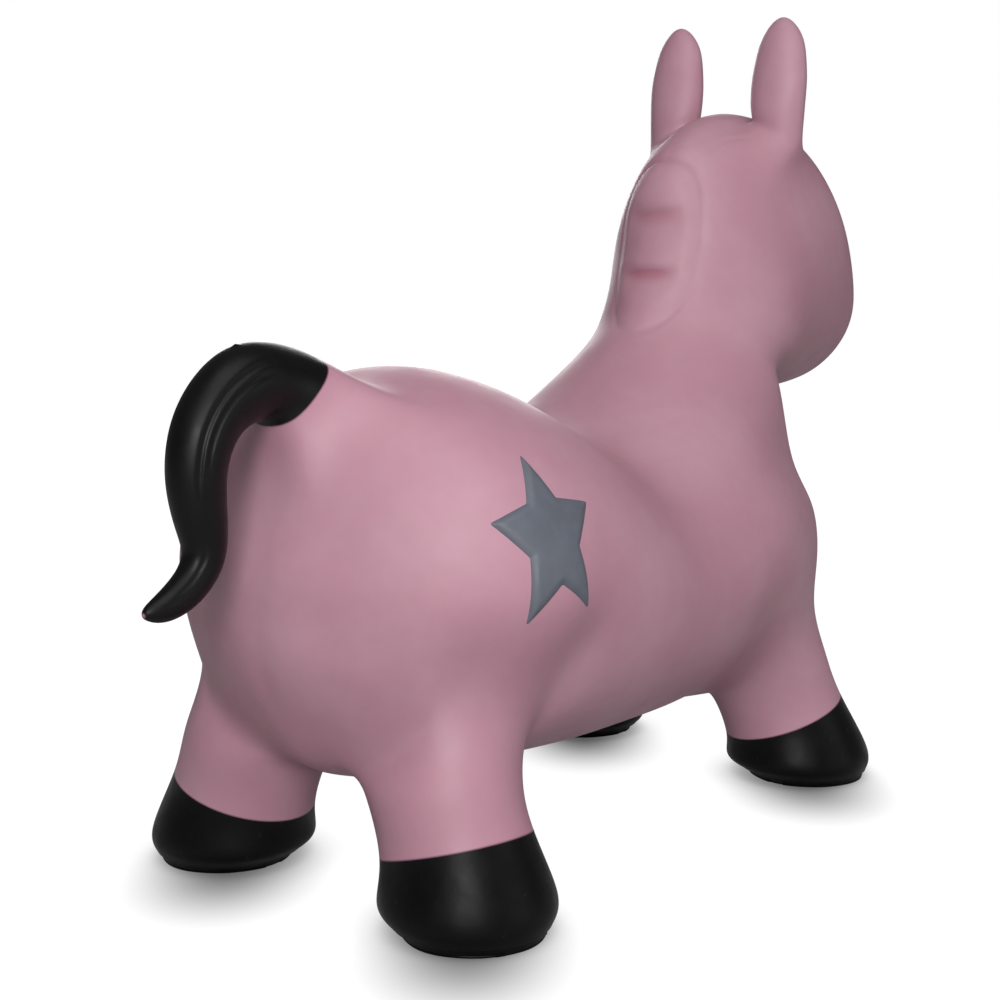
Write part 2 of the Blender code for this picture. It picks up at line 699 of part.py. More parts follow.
def add_valve(body, tree):
    """The hole in the belly, the sleeve that lines it and the plug that closes it."""
    x = VALVE_PLACE_SHARE * BODY_LENGTH
    sleeve_radius = VALVE_SLEEVE_DIAMETER / 2
    collar_radius = sleeve_radius + VALVE_COLLAR_WIDTH
    below = []
    for angle in even_angles(TURNED_SIDES):
        for radius in (sleeve_radius, collar_radius):
            start = Vector((x + radius * math.cos(angle), radius * math.sin(angle), 0))
            below.append(tree.ray_cast(start, Vector((0, 0, 1)))[0].z)
    bottom = min(below)
    seat = max(below) + WALL + FIT_CLEARANCE
    middle = Vector((x, 0, 0))
    cutter_radius = sleeve_radius + FIT_CLEARANCE
    cut_low = bottom - VALVE_SLEEVE_LENGTH
    cut_high = bottom + VALVE_SLEEVE_LENGTH
    cutter_profile = [(0, cut_low), (cutter_radius, cut_low), (cutter_radius, cut_high), (0, cut_high)]
    add_cut(body, "valve_cutter", turned_mesh(cutter_profile, middle), "DIFFERENCE")
    bore = VALVE_BORE / 2
    top = bottom + VALVE_SLEEVE_LENGTH
    neck_radius = (bore + sleeve_radius) / 2
    sleeve_profile = [
        (bore, bottom),
        (sleeve_radius, bottom),
        (sleeve_radius, seat),
        (collar_radius, seat),
        (collar_radius, seat + WALL),
        (neck_radius, seat + WALL),
        (neck_radius, top),
        (bore, top),
    ]
    add_object("valve_sleeve", turned_mesh(sleeve_profile, middle), PINK, SKIN_ROUGHNESS, middle)
    head_radius = PLUG_HEAD_DIAMETER / 2
    head_top = bottom - FIT_CLEARANCE
    head_low = head_top - PLUG_HEAD_THICKNESS
    stem_radius = bore - FIT_CLEARANCE
    tip_radius = stem_radius * PLUG_TIP_SHARE
    stem_top = head_top + PLUG_STEM_LENGTH
    edge = PLUG_HEAD_THICKNESS * PLUG_EDGE_SHARE
    plug_profile = [
        (0, head_low),
        (head_radius - edge, head_low),
        (head_radius, head_low + edge),
        (head_radius, head_top - edge),
        (head_radius - edge, head_top),
        (stem_radius, head_top),
        (stem_radius, stem_top - stem_radius),
        (tip_radius, stem_top),
        (0, stem_top),
    ]
    pivot = Vector((x, 0, head_low))
    add_object("air_plug", turned_mesh(plug_profile, middle), PALE, PLUG_ROUGHNESS, pivot)


def main():
    for old in list(bpy.data.objects):
        bpy.data.objects.remove(old)
    cage = make_cage()
    skin = smooth_skin(cage)
    for vertex in skin.vertices:
        vertex.co.z = max(vertex.co.z, 0)
    ends = [vertex.co.x for vertex in skin.vertices]
    middle = (min(ends) + max(ends)) / 2
    skin.transform(Matrix.Translation((-middle, 0, 0)))
    skin.update()
    tree = BVHTree.FromPolygons([v.co for v in skin.vertices], [p.vertices for p in skin.polygons])
    depths = wall_depths([v.co for v in skin.vertices], [v.normal for v in skin.vertices], tree)
    for zone in ZONES:
        dark = zone.startswith(("hoof", "tail"))
        pivot = Vector()
        if zone.startswith("ear_") and not zone.startswith("ear_base"):
            pivot = zone_middle(skin, zone.replace("ear_", "ear_base_"))
        elif zone == "tail":
            pivot = zone_middle(skin, "tail_root")
        elif zone.startswith("hoof"):
            pivot = zone_middle(skin, zone)
            pivot.z = 0
        colour, roughness = (BLACK, PAINT_ROUGHNESS) if dark else (PINK, SKIN_ROUGHNESS)
        part = add_object(zone, zone_shell(skin, depths, zone), colour, roughness, pivot)
        if zone == "body_skin":
            body = part
        elif pivot.length:
            print(zone, "pivot", [round(value, 4) for value in pivot])
    star_place = [share * size for share, size in zip(STAR_PLACE_SHARES, (BODY_LENGTH, BACK_HEIGHT))]
    eye_x = EYE_PLACE_SHARES[0] * BODY_LENGTH
    eye_z = BACK_HEIGHT + EYE_PLACE_SHARES[1] * HEAD_HEIGHT
    for hand, side in (("left", 1), ("right", -1)):
        place = Vector((star_place[0] - middle, side * BODY_WIDTH, star_place[1]))
        add_plate(f"star_{hand}", skin, tree, place, star_outline(side), STAR_RELIEF, GREY, STAR_ROUGHNESS)
        place = Vector((eye_x - middle, side * BODY_WIDTH, eye_z))
        outline = round_outline(EYE_DIAMETER, EYE_SIDES)
        add_plate(f"eye_{hand}", skin, tree, place, outline, EYE_RELIEF, BLACK, EYE_ROUGHNESS)
    add_valve(body, tree)
    print("middle", middle)


main()
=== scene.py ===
"""The dressed hopper horse: its soft vinyl skin, its paint, its air valve and the stage it stands on."""

import functools
import math

import bmesh
import bpy
import numpy as np
from bpy.props import FloatProperty, FloatVectorProperty, IntProperty, PointerProperty
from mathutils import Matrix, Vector
from mathutils.bvhtree import BVHTree
from mathutils.kdtree import KDTree


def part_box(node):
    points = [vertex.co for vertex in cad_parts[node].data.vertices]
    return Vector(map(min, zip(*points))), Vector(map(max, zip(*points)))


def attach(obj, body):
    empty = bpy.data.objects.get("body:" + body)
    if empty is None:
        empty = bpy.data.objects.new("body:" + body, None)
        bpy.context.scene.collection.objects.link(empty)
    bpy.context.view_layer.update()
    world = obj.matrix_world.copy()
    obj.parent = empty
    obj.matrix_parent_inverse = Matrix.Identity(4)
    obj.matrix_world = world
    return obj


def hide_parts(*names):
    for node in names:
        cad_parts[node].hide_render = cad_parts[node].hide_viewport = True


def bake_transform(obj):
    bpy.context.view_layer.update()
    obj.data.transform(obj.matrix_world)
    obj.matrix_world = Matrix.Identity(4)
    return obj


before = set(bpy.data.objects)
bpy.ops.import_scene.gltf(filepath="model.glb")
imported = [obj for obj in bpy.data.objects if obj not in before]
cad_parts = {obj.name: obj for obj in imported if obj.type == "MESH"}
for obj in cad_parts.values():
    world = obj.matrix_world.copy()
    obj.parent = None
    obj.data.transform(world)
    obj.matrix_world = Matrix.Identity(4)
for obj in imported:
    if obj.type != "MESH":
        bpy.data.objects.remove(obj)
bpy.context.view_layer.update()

bl_info = {
    "name": "Hopper Horse",
    "version": (1, 0, 0),
    "blender": (4, 5, 0),
    "location": "3D View > Sidebar > Hopper",
    "description": "Makes the skin, paint and valve of an inflatable hopper horse",
    "category": "Add Mesh",
}

# The body, neck and head
BODY_LENGTH = 0.400
BODY_WIDTH = 0.250
BACK_HEIGHT = 0.250
HEAD_HEIGHT = 0.160
HEAD_WIDTH = 0.120

# The legs and hooves
WHEELBASE = 0.3210
REAR_TRACK = 0.170
FRONT_TRACK = 0.172
LEG_TOP_HEIGHT = 0.064
HOOF_LINE_HEIGHT = 0.038
HOOF_WIDE_HEIGHT = 0.0145
REAR_ANKLE_DIAMETER = 0.072
FRONT_ANKLE_DIAMETER = 0.068
REAR_THIGH_PINCH = 0.019
FRONT_THIGH_PINCH = 0.007
HOOF_DIAMETER = 0.086
SOLE_DIAMETER = 0.077
SOLE_ROUNDING = 0.0055
SOLE_TRIM = 0.0015

# The ears and the tail
EAR_LENGTH = 0.095
EAR_WIDTH = 0.038
EAR_THICKNESS = 0.026
EAR_SPREAD = 0.0746
TAIL_LENGTH = 0.089
TAIL_DROP = 0.092
TAIL_THICKNESS = 0.043

SPINE_SIDES = 16
LEG_SIDES = 12
LIMB_SIDES = 8

# Each ring of the body drum: its place along the body, its top and bottom as shares of the back's height,
# its half width as a share of the body's width, and how far its upper half is pinched.
BODY_RING_SHARES = (
    (-0.498, 0.830, 0.380, 0.235, 0.06),
    (-0.458, 0.950, 0.275, 0.355, 0.06),
    (-0.392, 1.015, 0.232, 0.452, 0.05),
    (-0.325, 1.033, 0.218, 0.490, 0.06),
    (-0.250, 1.028, 0.212, 0.500, 0.06),
    (-0.140, 0.973, 0.206, 0.492, 0.06),
    (-0.025, 0.890, 0.206, 0.474, 0.06),
    (0.080, 0.895, 0.200, 0.462, 0.05),
    (0.195, 0.955, 0.190, 0.455, 0.02),
    (0.290, 0.950, 0.195, 0.430, -0.01),
    (0.385, 0.920, 0.213, 0.382, 0.03),
    (0.463, 0.850, 0.252, 0.310, 0.03),
    (0.506, 0.690, 0.340, 0.214, 0.05),
)
# Where each point of a body ring stands, in degrees from the top, down the left side
BODY_COLUMN_DEGREES = (0, 25, 51, 72, 93, 118, 144, 168, 180)
END_BULGE_SHARE = 0.035

# Each ring of the neck and head: the nape's place along the body and up the head's rise, the throat's
# place in the same two measures, the half width as a share of the head's width, and how far the nape's
# side is pinched.
NECK_RING_SHARES = (
    (0.206, 0.080, 0.474, -0.175, 0.562, 0.18),
    (0.256, 0.250, 0.477, -0.105, 0.490, 0.20),
    (0.286, 0.480, 0.496, -0.080, 0.492, 0.28),
    (0.300, 0.690, 0.542, -0.095, 0.508, 0.25),
    (0.366, 0.875, 0.590, -0.108, 0.508, 0.12),
    (0.468, 0.975, 0.628, -0.118, 0.505, 0.02),
    (0.588, 0.950, 0.672, -0.108, 0.477, 0.00),
    (0.659, 0.808, 0.710, -0.090, 0.437, 0.00),
    (0.700, 0.570, 0.745, -0.036, 0.388, 0.00),
    (0.748, 0.385, 0.767, 0.078, 0.290, 0.00),
)
# Where each point of a neck ring stands, in degrees from the nape, down the left side
NECK_COLUMN_DEGREES = (0, 14, 34, 56, 80, 104, 128, 154, 180)
NOSE_BULGE_SHARE = 0.033

HOOVES_MIDDLE_SHARE = 0.0050
THIGH_DOWN_SHARE = 0.5
# The ankle's flare into the leg, and how far the hoof's widest ring is tilted with the leg
ANKLE_FLARE_SHARE = 1.02
HOOF_TILT_SHARE = 0.2
# How far a leg leans out and forwards for each step down, for the rear and the front pair
REAR_LEAN_SHARES = (0.32, -0.06)
FRONT_LEAN_SHARES = (0.26, 0.30)

# Each ring of an ear: height, width and thickness as shares of the ear's own, its lean forwards, and how
# steeply its outer side hangs down
EAR_RING_SHARES = (
    (0.10, 0.90, 1.18, 0.00, 0.55),
    (0.21, 0.92, 1.06, 0.00, 0.28),
    (0.38, 0.98, 0.98, 0.01, 0.00),
    (0.58, 0.90, 0.88, 0.03, 0.00),
    (0.75, 0.68, 0.70, 0.05, 0.00),
)
EAR_TIP_SHARE = 0.15

# Each ring of the tail: its place behind and above the root, and its diameter as a share of the root's
TAIL_RING_SHARES = (
    (0.000, 0.000, 1.00),
    (0.245, 0.060, 0.86),
    (0.455, -0.020, 0.78),
    (0.595, -0.180, 0.715),
    (0.646, -0.395, 0.655),
    (0.619, -0.615, 0.565),
    (0.614, -0.775, 0.472),
    (0.711, -0.905, 0.41),
    (0.866, -0.985, 0.32),
    (0.966, -1.000, 0.17),
)
TAIL_FLATNESS_SHARE = 0.92
TAIL_TIP_SHARE = 0.4
TAIL_ROOT_BACK_SHARE = -0.475
TAIL_ROOT_HEIGHT_SHARE = 1.002

CAP_ROUNDING_SHARE = 0.15
INTERPOLATION_PASSES = 2

ENDS = ("front", "rear")
HANDS = ("left", "right")
LEGS = tuple((end, hand) for end in ENDS for hand in HANDS)
ZONES = (
    "torso",
    "neck_and_head",
    *[f"leg_{end}_{hand}" for end, hand in LEGS],
    *[f"hoof_{end}_{hand}" for end, hand in LEGS],
    *[f"ear_{hand}" for hand in HANDS],
    "tail",
)

# The mane's pad on the nape, in the finished frame: its middle and half height, how square its corners
# are, and how squarely a place has to face backwards to carry it
MANE_MIDDLE_HEIGHT = 0.3237
MANE_HALF_HEIGHT = 0.0515
MANE_CORNER_POWER = 2.6
NAPE_FACING = (0, 0.25)
# How far in from its outline the pad swells, and how wide the furrow round it is, as shares of its reach
MANE_SWELL_SHARE = 0.34
MANE_FURROW_SHARE = 0.042
MANE_SIDE_FURROW_SHARE = 0.20
MANE_LOW_FURROW_SHARE = 0.45
# Each crease across the mane: its height, how soft it is above and below, and its depth as a share
MANE_CREASES = (
    (0.3415, 0.0035, 0.0095, 0.70),
    (0.3067, 0.0022, 0.0065, 1.00),
)
# The roll over each crease: its height as a share of the crease's depth, and its place above the crease
# and its width as shares of the crease's softness there
ROLL_BULGE_SHARE = 0.40
ROLL_PLACE_SHARE = 2.2
ROLL_WIDTH_SHARE = 2
# How far from the middle a crease starts to fade and ends, and how much painted shade the furrow takes
CREASE_ENDS = (0.005, 0.027)
FURROW_SHADE_SHARE = 0.5
# Where the fold round the left ear's root is smoothed: its middle, where that starts to fade and ends, how
# far each pass draws a place to its neighbours' mean, and the passes
EAR_ROOT_PLACE = (0.1779, 0.0374, 0.3870)
EAR_ROOT_REACH = (0.027, 0.044)
EAR_ROOT_PULL = 0.5
EAR_ROOT_PASSES = 90
# The edge of the forelock's mound, behind each ear, on the left side
EAR_ARC = (
    (0.1272, 0.0210, 0.3801),
    (0.1331, 0.0222, 0.3834),
    (0.1403, 0.0234, 0.3868),
    (0.1477, 0.0268, 0.3883),
    (0.1536, 0.0311, 0.3885),
)
EAR_ARC_WIDTH = 0.0018
# The hollow in an ear's front: how squarely it faces forwards, how far from the ear's middle it fades and
# ends, and where up the ear it starts, is full, fades and ends
EAR_FACING = (0.2, 0.9)
EAR_HOLLOW_SIDE_SHARES = (0.25, 0.75)
EAR_HOLLOW_START_SHARES = (0.25, 0.45)
EAR_HOLLOW_END_SHARES = (0.60, 0.90)

# Grooves along both sides of the tail: how far each lies from its middle line and its width, as shares of
# the half thickness, its depth as a share, and where along the tail it starts, is full, fades and ends
TAIL_GROOVES = (
    (0.53, 0.075, 1.00, 0.016, 0.034, 0.074, 0.094),
    (0.27, 0.090, 0.90, 0.018, 0.036, 0.068, 0.090),
    (0.55, 0.130, 0.35, 0.096, 0.112, 0.134, 0.150),
)
# The mould's pip on top of the tail, and the tip that the paint leaves bare
TAIL_PIP_PLACE = (-0.2415, 0.0, 0.2725)
TAIL_PIP_RADIUS = 0.0014
TAIL_TIP_PLACE = (-0.2974, 0.0, 0.1580)
BARE_TIP_RADII = (0.0006, 0.0016)

# The face is plain: two shallow nostrils and a moulded mouth line
NOSTRIL_PLACE = (0.2900, 0.0195, 0.3010)
NOSTRIL_RADIUS = 0.0052
MOUTH_HEIGHT = 0.2690
MOUTH_HALF_WIDTH = 0.030
MOUTH_RISE = 0.012
MOUTH_LINE_WIDTH = 0.0016
MOUTH_FADE_SHARE = 0.8
# Between these places along the body the mouth line deepens from nothing
MUZZLE_START = (0.258, 0.268)

# The sole's rim, which steps in under the hoof
RIM_HEIGHTS = (0.0034, 0.0048)

# Each lamp: its azimuth and elevation in degrees, its distance and size in metres, and its power in watts
LAMPS = (
    ("key", 217, 20, 1.4, 0.6, 11.5),
    ("top", 230, 60, 1.6, 1.2, 9.5),
    ("fill", 285, 10, 2.5, 1.5, 7.5),
    # This one lights the sides that the main camera doesn't see
    ("front", 42, 12, 2.2, 1.2, 22.0),
)
LAMP_TARGET = (0, 0, 0.2)
WORLD_STRENGTH = 0.12
FLOOR_REACH = 15
# The paper's own grey under the lamps, to the camera and to the rays that light the object
PAPER_GREY = 0.10
BOUNCE_GREY = 0.35
# How much of the white paper a reflection shows
PAPER_GLOSS_SHARE = 0.25
# The paper's glow is darkened as painted contact shade where a hoof meets it, within this reach
CONTACT_REACH = 0.030
CONTACT_LEVEL = 0.35
# A soft pool of painted shade lies under each hoof, drawn out towards the camera: its half length and half
# width, how far its middle is from the hoof's, and how light it is there
POOL_HALF_SIZES = (0.082, 0.062)
POOL_SHIFT = 0.038
POOL_LEVEL = 0.24

# How finely the raised plates are meshed, round and across
PLATE_SPOKES = 360
PLATE_RINGS = 22
# A plate is laid on the skin within this reach of its middle, by rays that start this far off the skin and
# are this long, and sinks this far into the skin at its rim
PLATE_PATCH_REACH = 0.08
PLATE_RAY_START = 0.03
PLATE_RAY_LENGTH = 0.08
PLATE_SINK = 0.0001
WELD_DISTANCE = 0.00001

STAR_PLACE_SHARES = (-0.342, 0.746)
STAR_NOTCH_SHARE = 0.51
# How far the star's width slants up towards the head
STAR_SLANT_SHARE = 0.09
STAR_CORNER_RADIUS = 0.0008
STAR_EDGE_WIDTH = 0.0045
EYE_PLACE_SHARES = (0.700, 0.520)
EYE_SIDES = 24

# The valve: its bore, the sleeve round it, the collar's height over the sleeve's mouth and its thickness
VALVE_BORE_RADIUS = 0.0045
SLEEVE_RADIUS = 0.0075
COLLAR_HEIGHT = 0.005
COLLAR_THICKNESS = 0.002
# The plug: its clearance, the dish in its head, that dish's floor and rim as shares of the head's radius,
# and the end of its stem as a share of the stem's
PLUG_CLEARANCE = 0.0003
PLUG_DISH_DEPTH = 0.0008
PLUG_DISH_SHARES = (0.45, 0.55)
STEM_END_SHARE = 0.85
TURNED_ROUNDING = 0.0006
SHARP_DEGREES = 50
# The hole in the belly, as a share of the plug's head, and how far over the sleeve it is looked for
VALVE_HOLE_SHARE = 0.93
VALVE_HOLE_REACH = 0.02


def from_hex(text):
    """The linear colour of an sRGB hex value."""
    values = [int(text[index : index + 2], 16) / 255 for index in (1, 3, 5)]
    return tuple(v / 12.92 if v <= 0.04045 else ((v + 0.055) / 1.055) ** 2.4 for v in values)


def length(name, description, default):
    """A size that a user may change, in metres."""
    return FloatProperty(
        name=name, description=description, default=default, unit="LENGTH", subtype="DISTANCE"
    )


def colour(name, description, text):
    """A colour that a user may change."""
    return FloatVectorProperty(
        name=name, description=description, default=from_hex(text), subtype="COLOR", min=0, max=1
    )


class HopperSkinSettings(bpy.types.PropertyGroup):
    levels: IntProperty(
        name="Smoothness", description="Times the skin's cage is subdivided", default=4, min=2, max=5
    )
    mane_relief: length("Mane Relief", "How far the mane's pad stands off the nape", 0.0015)
    mane_half_width: length("Mane Half Width", "Half the width of the mane's pad", 0.0290)
    furrow_depth: length("Furrow Depth", "Depth of the furrow round the mane's pad", 0.0019)
    crease_depth: length("Crease Depth", "Depth of the two creases across the mane", 0.0022)
    ear_arc_depth: length("Ear Arc Depth", "Depth of the shallow line behind each ear", 0.0004)
    groove_depth: length("Tail Groove Depth", "Depth of the grooves along the tail", 0.0012)
    pip_height: length("Pip Height", "How far the mould's pip stands off the tail", 0.0011)
    rim_step: length("Sole Step", "How far the sole's rim steps in under the hoof", 0.0011)
    nostril_depth: length("Nostril Depth", "Depth of the shallow nostrils", 0.0022)
    mouth_depth: length("Mouth Depth", "Depth of the moulded mouth line", 0.0009)
    ear_hollow: length("Ear Hollow", "Depth of the hollow in an ear's front", 0.0035)
    vinyl: colour("Vinyl", "Colour of the bare vinyl", "#B68595")
    vinyl_bloom: colour("Vinyl Bloom", "Colour of the vinyl where it has bloomed pale", "#BC8F9E")
    # Painted shade: the darker colour laid into the mane's creases and furrow
    fold: colour("Fold", "Colour of the vinyl down in a crease", "#A0596D")
    paint_edge: colour("Paint Edge", "Colour of the thin paint along a paint line", "#7A5068")


class HopperPaintSettings(bpy.types.PropertyGroup):
    black: colour("Black Paint", "Colour of the black paint on the hooves and tail", "#0B0A0B")
    scuff: colour("Scuffs", "Colour of the rubbed places on the black paint", "#242325")
    star: colour("Star Paint", "Colour of the star", "#5B5F69")
    eye: colour("Eye Paint", "Colour of the eyes", "#141315")
    star_points: IntProperty(
        name="Star Points", description="How many tips the star has", default=5, min=3, max=9
    )
    star_width: length("Star Width", "Width of the oval on which the star's tips lie", 0.0614)
    star_height: length("Star Height", "Height of the oval on which the star's tips lie", 0.0866)
    star_relief: length("Star Relief", "How far the star stands off the skin", 0.0019)
    eye_diameter: length("Eye Diameter", "Diameter of an eye", 0.018)
    eye_relief: length("Eye Relief", "How far an eye stands off the skin", 0.0014)


class HopperValveSettings(bpy.types.PropertyGroup):
    plug_colour: colour("Plug", "Colour of the plug's natural polyethylene", "#E4E0DA")
    sides: IntProperty(
        name="Sides", description="Faces round the turned pieces", default=64, min=16, max=128
    )


class HopperStageSettings(bpy.types.PropertyGroup):
    camera_place: FloatVectorProperty(
        name="Camera",
        description="Where the camera stands",
        default=(-0.7416, -0.5533, 0.3015),
        unit="LENGTH",
    )
    camera_yaw: FloatProperty(
        name="Yaw", description="The camera's turn from +X", default=math.radians(38.72), unit="ROTATION"
    )
    camera_pitch: FloatProperty(
        name="Pitch", description="How far the camera looks down", default=math.radians(7.65), unit="ROTATION"
    )
    focal_mm: FloatProperty(
        name="Focal Length", description="In millimetres, on a 36 mm frame", default=58.79
    )
    floor: colour("Floor", "Colour of the floor", "#FFFFFF")


def settings(name):
    """One group of the sizes and colours that a user may change."""
    return getattr(bpy.context.scene, name)


def add_object(name, data):
    """A new object in the scene, at the origin."""
    thing = bpy.data.objects.new(name, data)
    bpy.context.collection.objects.link(thing)
    return thing


# The cage of the skin


class Cage:
    """The points and four-sided faces of the skin, with a zone name for each face."""

    def __init__(self):
        self.points = []
        self.faces = []
        self.zones = []
        self.slack = set()

    def ring(self, places):
        """Adds the places as points and returns their numbers."""
        first = len(self.points)
        self.points.extend(places)
        return list(range(first, len(self.points)))

    def face(self, corners, zone):
        self.faces.append(tuple(corners))
        self.zones.append(zone)

    def bridge(self, lower, upper, zone):
        """Joins two rings of as many points by a band of faces."""
        count = len(lower)
        for index in range(count):
            after = (index + 1) % count
            self.face((lower[index], lower[after], upper[after], upper[index]), zone)

    def cap(self, ring, zone, apex_shift, start=0):
        """Closes a ring by a square patch of faces, whose inner points are drawn from the rim and shifted."""
        side = len(ring) // 4
        turned = ring[start:] + ring[:start]
        rows = [[None] * (side + 1) for _ in range(side + 1)]
        for step in range(side):
            rows[0][step] = turned[step]
            rows[step][side] = turned[side + step]
            rows[side][side - step] = turned[2 * side + step]
            rows[side - step][0] = turned[3 * side + step]
        rim = [Vector(self.points[number]) for number in ring]
        middle = sum(rim, Vector()) / len(rim)
        for row in range(1, side):
            for column in range(1, side):
                across = column / side
                down = row / side
                place = (
                    Vector(self.points[rows[row][0]]) * (1 - across)
                    + Vector(self.points[rows[row][side]]) * across
                    + Vector(self.points[rows[0][column]]) * (1 - down)
                    + Vector(self.points[rows[side][column]]) * down
                ) / 2
                reach = max(abs(2 * across - 1), abs(2 * down - 1))
                place = place.lerp(middle, CAP_ROUNDING_SHARE * (1 - reach))
                place += apex_shift * (1 - reach * reach / 2)
                rows[row][column] = self.ring([place])[0]
        for row in range(side):
            for column in range(side):
                here, there = rows[row], rows[row + 1]
                self.face((here[column], here[column + 1], there[column + 1], there[column]), zone)


def even_angles(sides):
    return [2 * math.pi * index / sides for index in range(sides)]


def mirrored_angles(degrees):
    """Angles down the left side and back up the right one."""
    left = [math.radians(value) for value in degrees]
    return left + [2 * math.pi - angle for angle in left[-2:0:-1]]


def oval_ring(top, bottom, half_width, angles, pinch=0):
    """Points of an oval from its top and bottom points in the midplane, first point at the top.

    A pinch makes the oval narrow towards its top and full towards its bottom.
    """
    middle = (top + bottom) / 2
    half = (top - bottom) / 2
    widths = [half_width * math.sin(a) * (1 - pinch * math.cos(a)) for a in angles]
    return [middle + half * math.cos(a) + Vector((0, y, 0)) for a, y in zip(angles, widths)]


def leg_ring(centre, diameter, lean, tilt):
    """Points round a leg. A tilt of one sets the ring square to the leg's lean, and nought lays it flat."""
    outward, forward = lean
    side = math.copysign(1, centre.y)
    places = []
    for index in range(LEG_SIDES):
        angle = math.radians(225) - 2 * math.pi * index / LEG_SIDES
        ahead = diameter / 2 * math.sin(angle)
        out = -diameter / 2 * math.cos(angle)
        rise = tilt * (outward * out + forward * ahead)
        places.append(centre + Vector((ahead, side * out, rise)))
    return places


def block_rim(rings, rows, columns):
    """Numbers round the rim of a block of the loft, from its first row and column on, the column first."""
    first_row, last_row = rows
    count = len(rings[0])
    inside = list(columns)
    rim = [rings[row][inside[0] % count] for row in range(first_row, last_row)]
    rim += [rings[last_row][column % count] for column in inside[:-1]]
    rim += [rings[row][inside[-1] % count] for row in range(last_row, first_row, -1)]
    rim += [rings[first_row][column % count] for column in reversed(inside[1:])]
    return rim


def match_start(cage, ring, other):
    """The ring's numbers, turned or reversed so that each lies nearest its fellow in the other."""
    best = None
    for order in (ring, ring[::-1]):
        for shift in range(len(order)):
            turned = order[shift:] + order[:shift]
            pairs = zip(turned, other)
            spread = sum((Vector(cage.points[a]) - Vector(cage.points[b])).length_squared for a, b in pairs)
            if best is None or spread < best[0]:
                best = (spread, turned)
    return best[1]


def make_cage():
    cage = Cage()
    body = []
    angles = mirrored_angles(BODY_COLUMN_DEGREES)
    for place, top, bottom, width, pinch in BODY_RING_SHARES:
        along = place * BODY_LENGTH
        high = Vector((along, 0, top * BACK_HEIGHT))
        low = Vector((along, 0, bottom * BACK_HEIGHT))
        body.append(cage.ring(oval_ring(high, low, width * BODY_WIDTH, angles, pinch)))
    leg_rows = {"rear": (1, 4), "front": (8, 11)}
    leg_columns = {"left": (4, 5, 6, 7), "right": (12, 11, 10, 9)}
    neck_rows = (7, 11)
    tail_rows = (0, 2)
    open_faces = set()
    for rows in leg_rows.values():
        for column in (4, 5, 6, 9, 10, 11):
            open_faces |= {(row, column) for row in range(*rows)}
    open_faces |= {(row, column) for row in range(*neck_rows) for column in (14, 15, 0, 1)}
    open_faces |= {(row, column) for row in range(*tail_rows) for column in (15, 0)}
    for row in range(len(body) - 1):
        for column in range(SPINE_SIDES):
            if (row, column) in open_faces:
                continue
            after = (column + 1) % SPINE_SIDES
            corners = (body[row][column], body[row][after], body[row + 1][after], body[row + 1][column])
            cage.face(corners, "torso")
    cage.cap(body[0], "torso", Vector((-END_BULGE_SHARE * BODY_LENGTH, 0, 0)), start=2)
    cage.cap(body[-1], "torso", Vector((END_BULGE_SHARE * BODY_LENGTH, 0, 0)), start=2)
    for end, rows in leg_rows.items():
        for hand, columns in leg_columns.items():
            add_leg(cage, block_rim(body, rows, columns), end, hand)
    neck_rim = block_rim(body, neck_rows, (-2, -1, 0, 1, 2))
    add_head(cage, neck_rim)
    add_tail(cage, block_rim(body, tail_rows, (-1, 0, 1)))
    return cage


def leg_line(end, hand):
    """The middle of a leg's sole, and how its middle line moves for each step up."""
    side = 1 if hand == "left" else -1
    outward, forward = REAR_LEAN_SHARES if end == "rear" else FRONT_LEAN_SHARES
    track = REAR_TRACK if end == "rear" else FRONT_TRACK
    middle = HOOVES_MIDDLE_SHARE * BODY_LENGTH
    sole = Vector((middle + WHEELBASE / 2 * (-1 if end == "rear" else 1), side * track / 2, 0))
    return sole, Vector((-forward, -side * outward, 1))


def add_leg(cage, rim, end, hand):
    """A leg from its hole in the body down to the flat sole."""
    side = 1 if hand == "left" else -1
    lean = REAR_LEAN_SHARES if end == "rear" else FRONT_LEAN_SHARES
    pinch = REAR_THIGH_PINCH if end == "rear" else FRONT_THIGH_PINCH
    ankle = REAR_ANKLE_DIAMETER if end == "rear" else FRONT_ANKLE_DIAMETER
    sole, upwards = leg_line(end, hand)

    def at(height, diameter, tilt):
        return cage.ring(leg_ring(sole + upwards * height, diameter, lean, tilt))

    top = at(LEG_TOP_HEIGHT, ankle * ANKLE_FLARE_SHARE, 1)
    line = at(HOOF_LINE_HEIGHT, ankle, 1)
    wide = at(HOOF_WIDE_HEIGHT, HOOF_DIAMETER, HOOF_TILT_SHARE)
    edge = at(SOLE_ROUNDING, SOLE_DIAMETER, 0)
    flat = at(-SOLE_TRIM, SOLE_DIAMETER - 2 * SOLE_ROUNDING, 0)
    leg_zone = f"leg_{end}_{hand}"
    hoof_zone = f"hoof_{end}_{hand}"
    thigh = []
    for upper, lower in zip(rim, top):
        place = Vector(cage.points[upper]).lerp(Vector(cage.points[lower]), THIGH_DOWN_SHARE)
        away = Vector((place.x - sole.x, place.y - sole.y * (1 - lean[0]), 0)).normalized()
        facing = 1 if end == "front" else max(side * away.y, 0)
        thigh.append(place - away * pinch * facing)
    thigh = cage.ring(thigh)
    cage.slack.update(thigh)
    cage.slack.update(rim[LEG_SIDES // 4 :])
    cage.bridge(rim, thigh, "torso")
    cage.bridge(thigh, top, "torso")
    cage.bridge(top, line, leg_zone)
    cage.bridge(line, wide, hoof_zone)
    cage.bridge(wide, edge, hoof_zone)
    cage.bridge(edge, flat, hoof_zone)
    cage.cap(flat, hoof_zone, Vector())


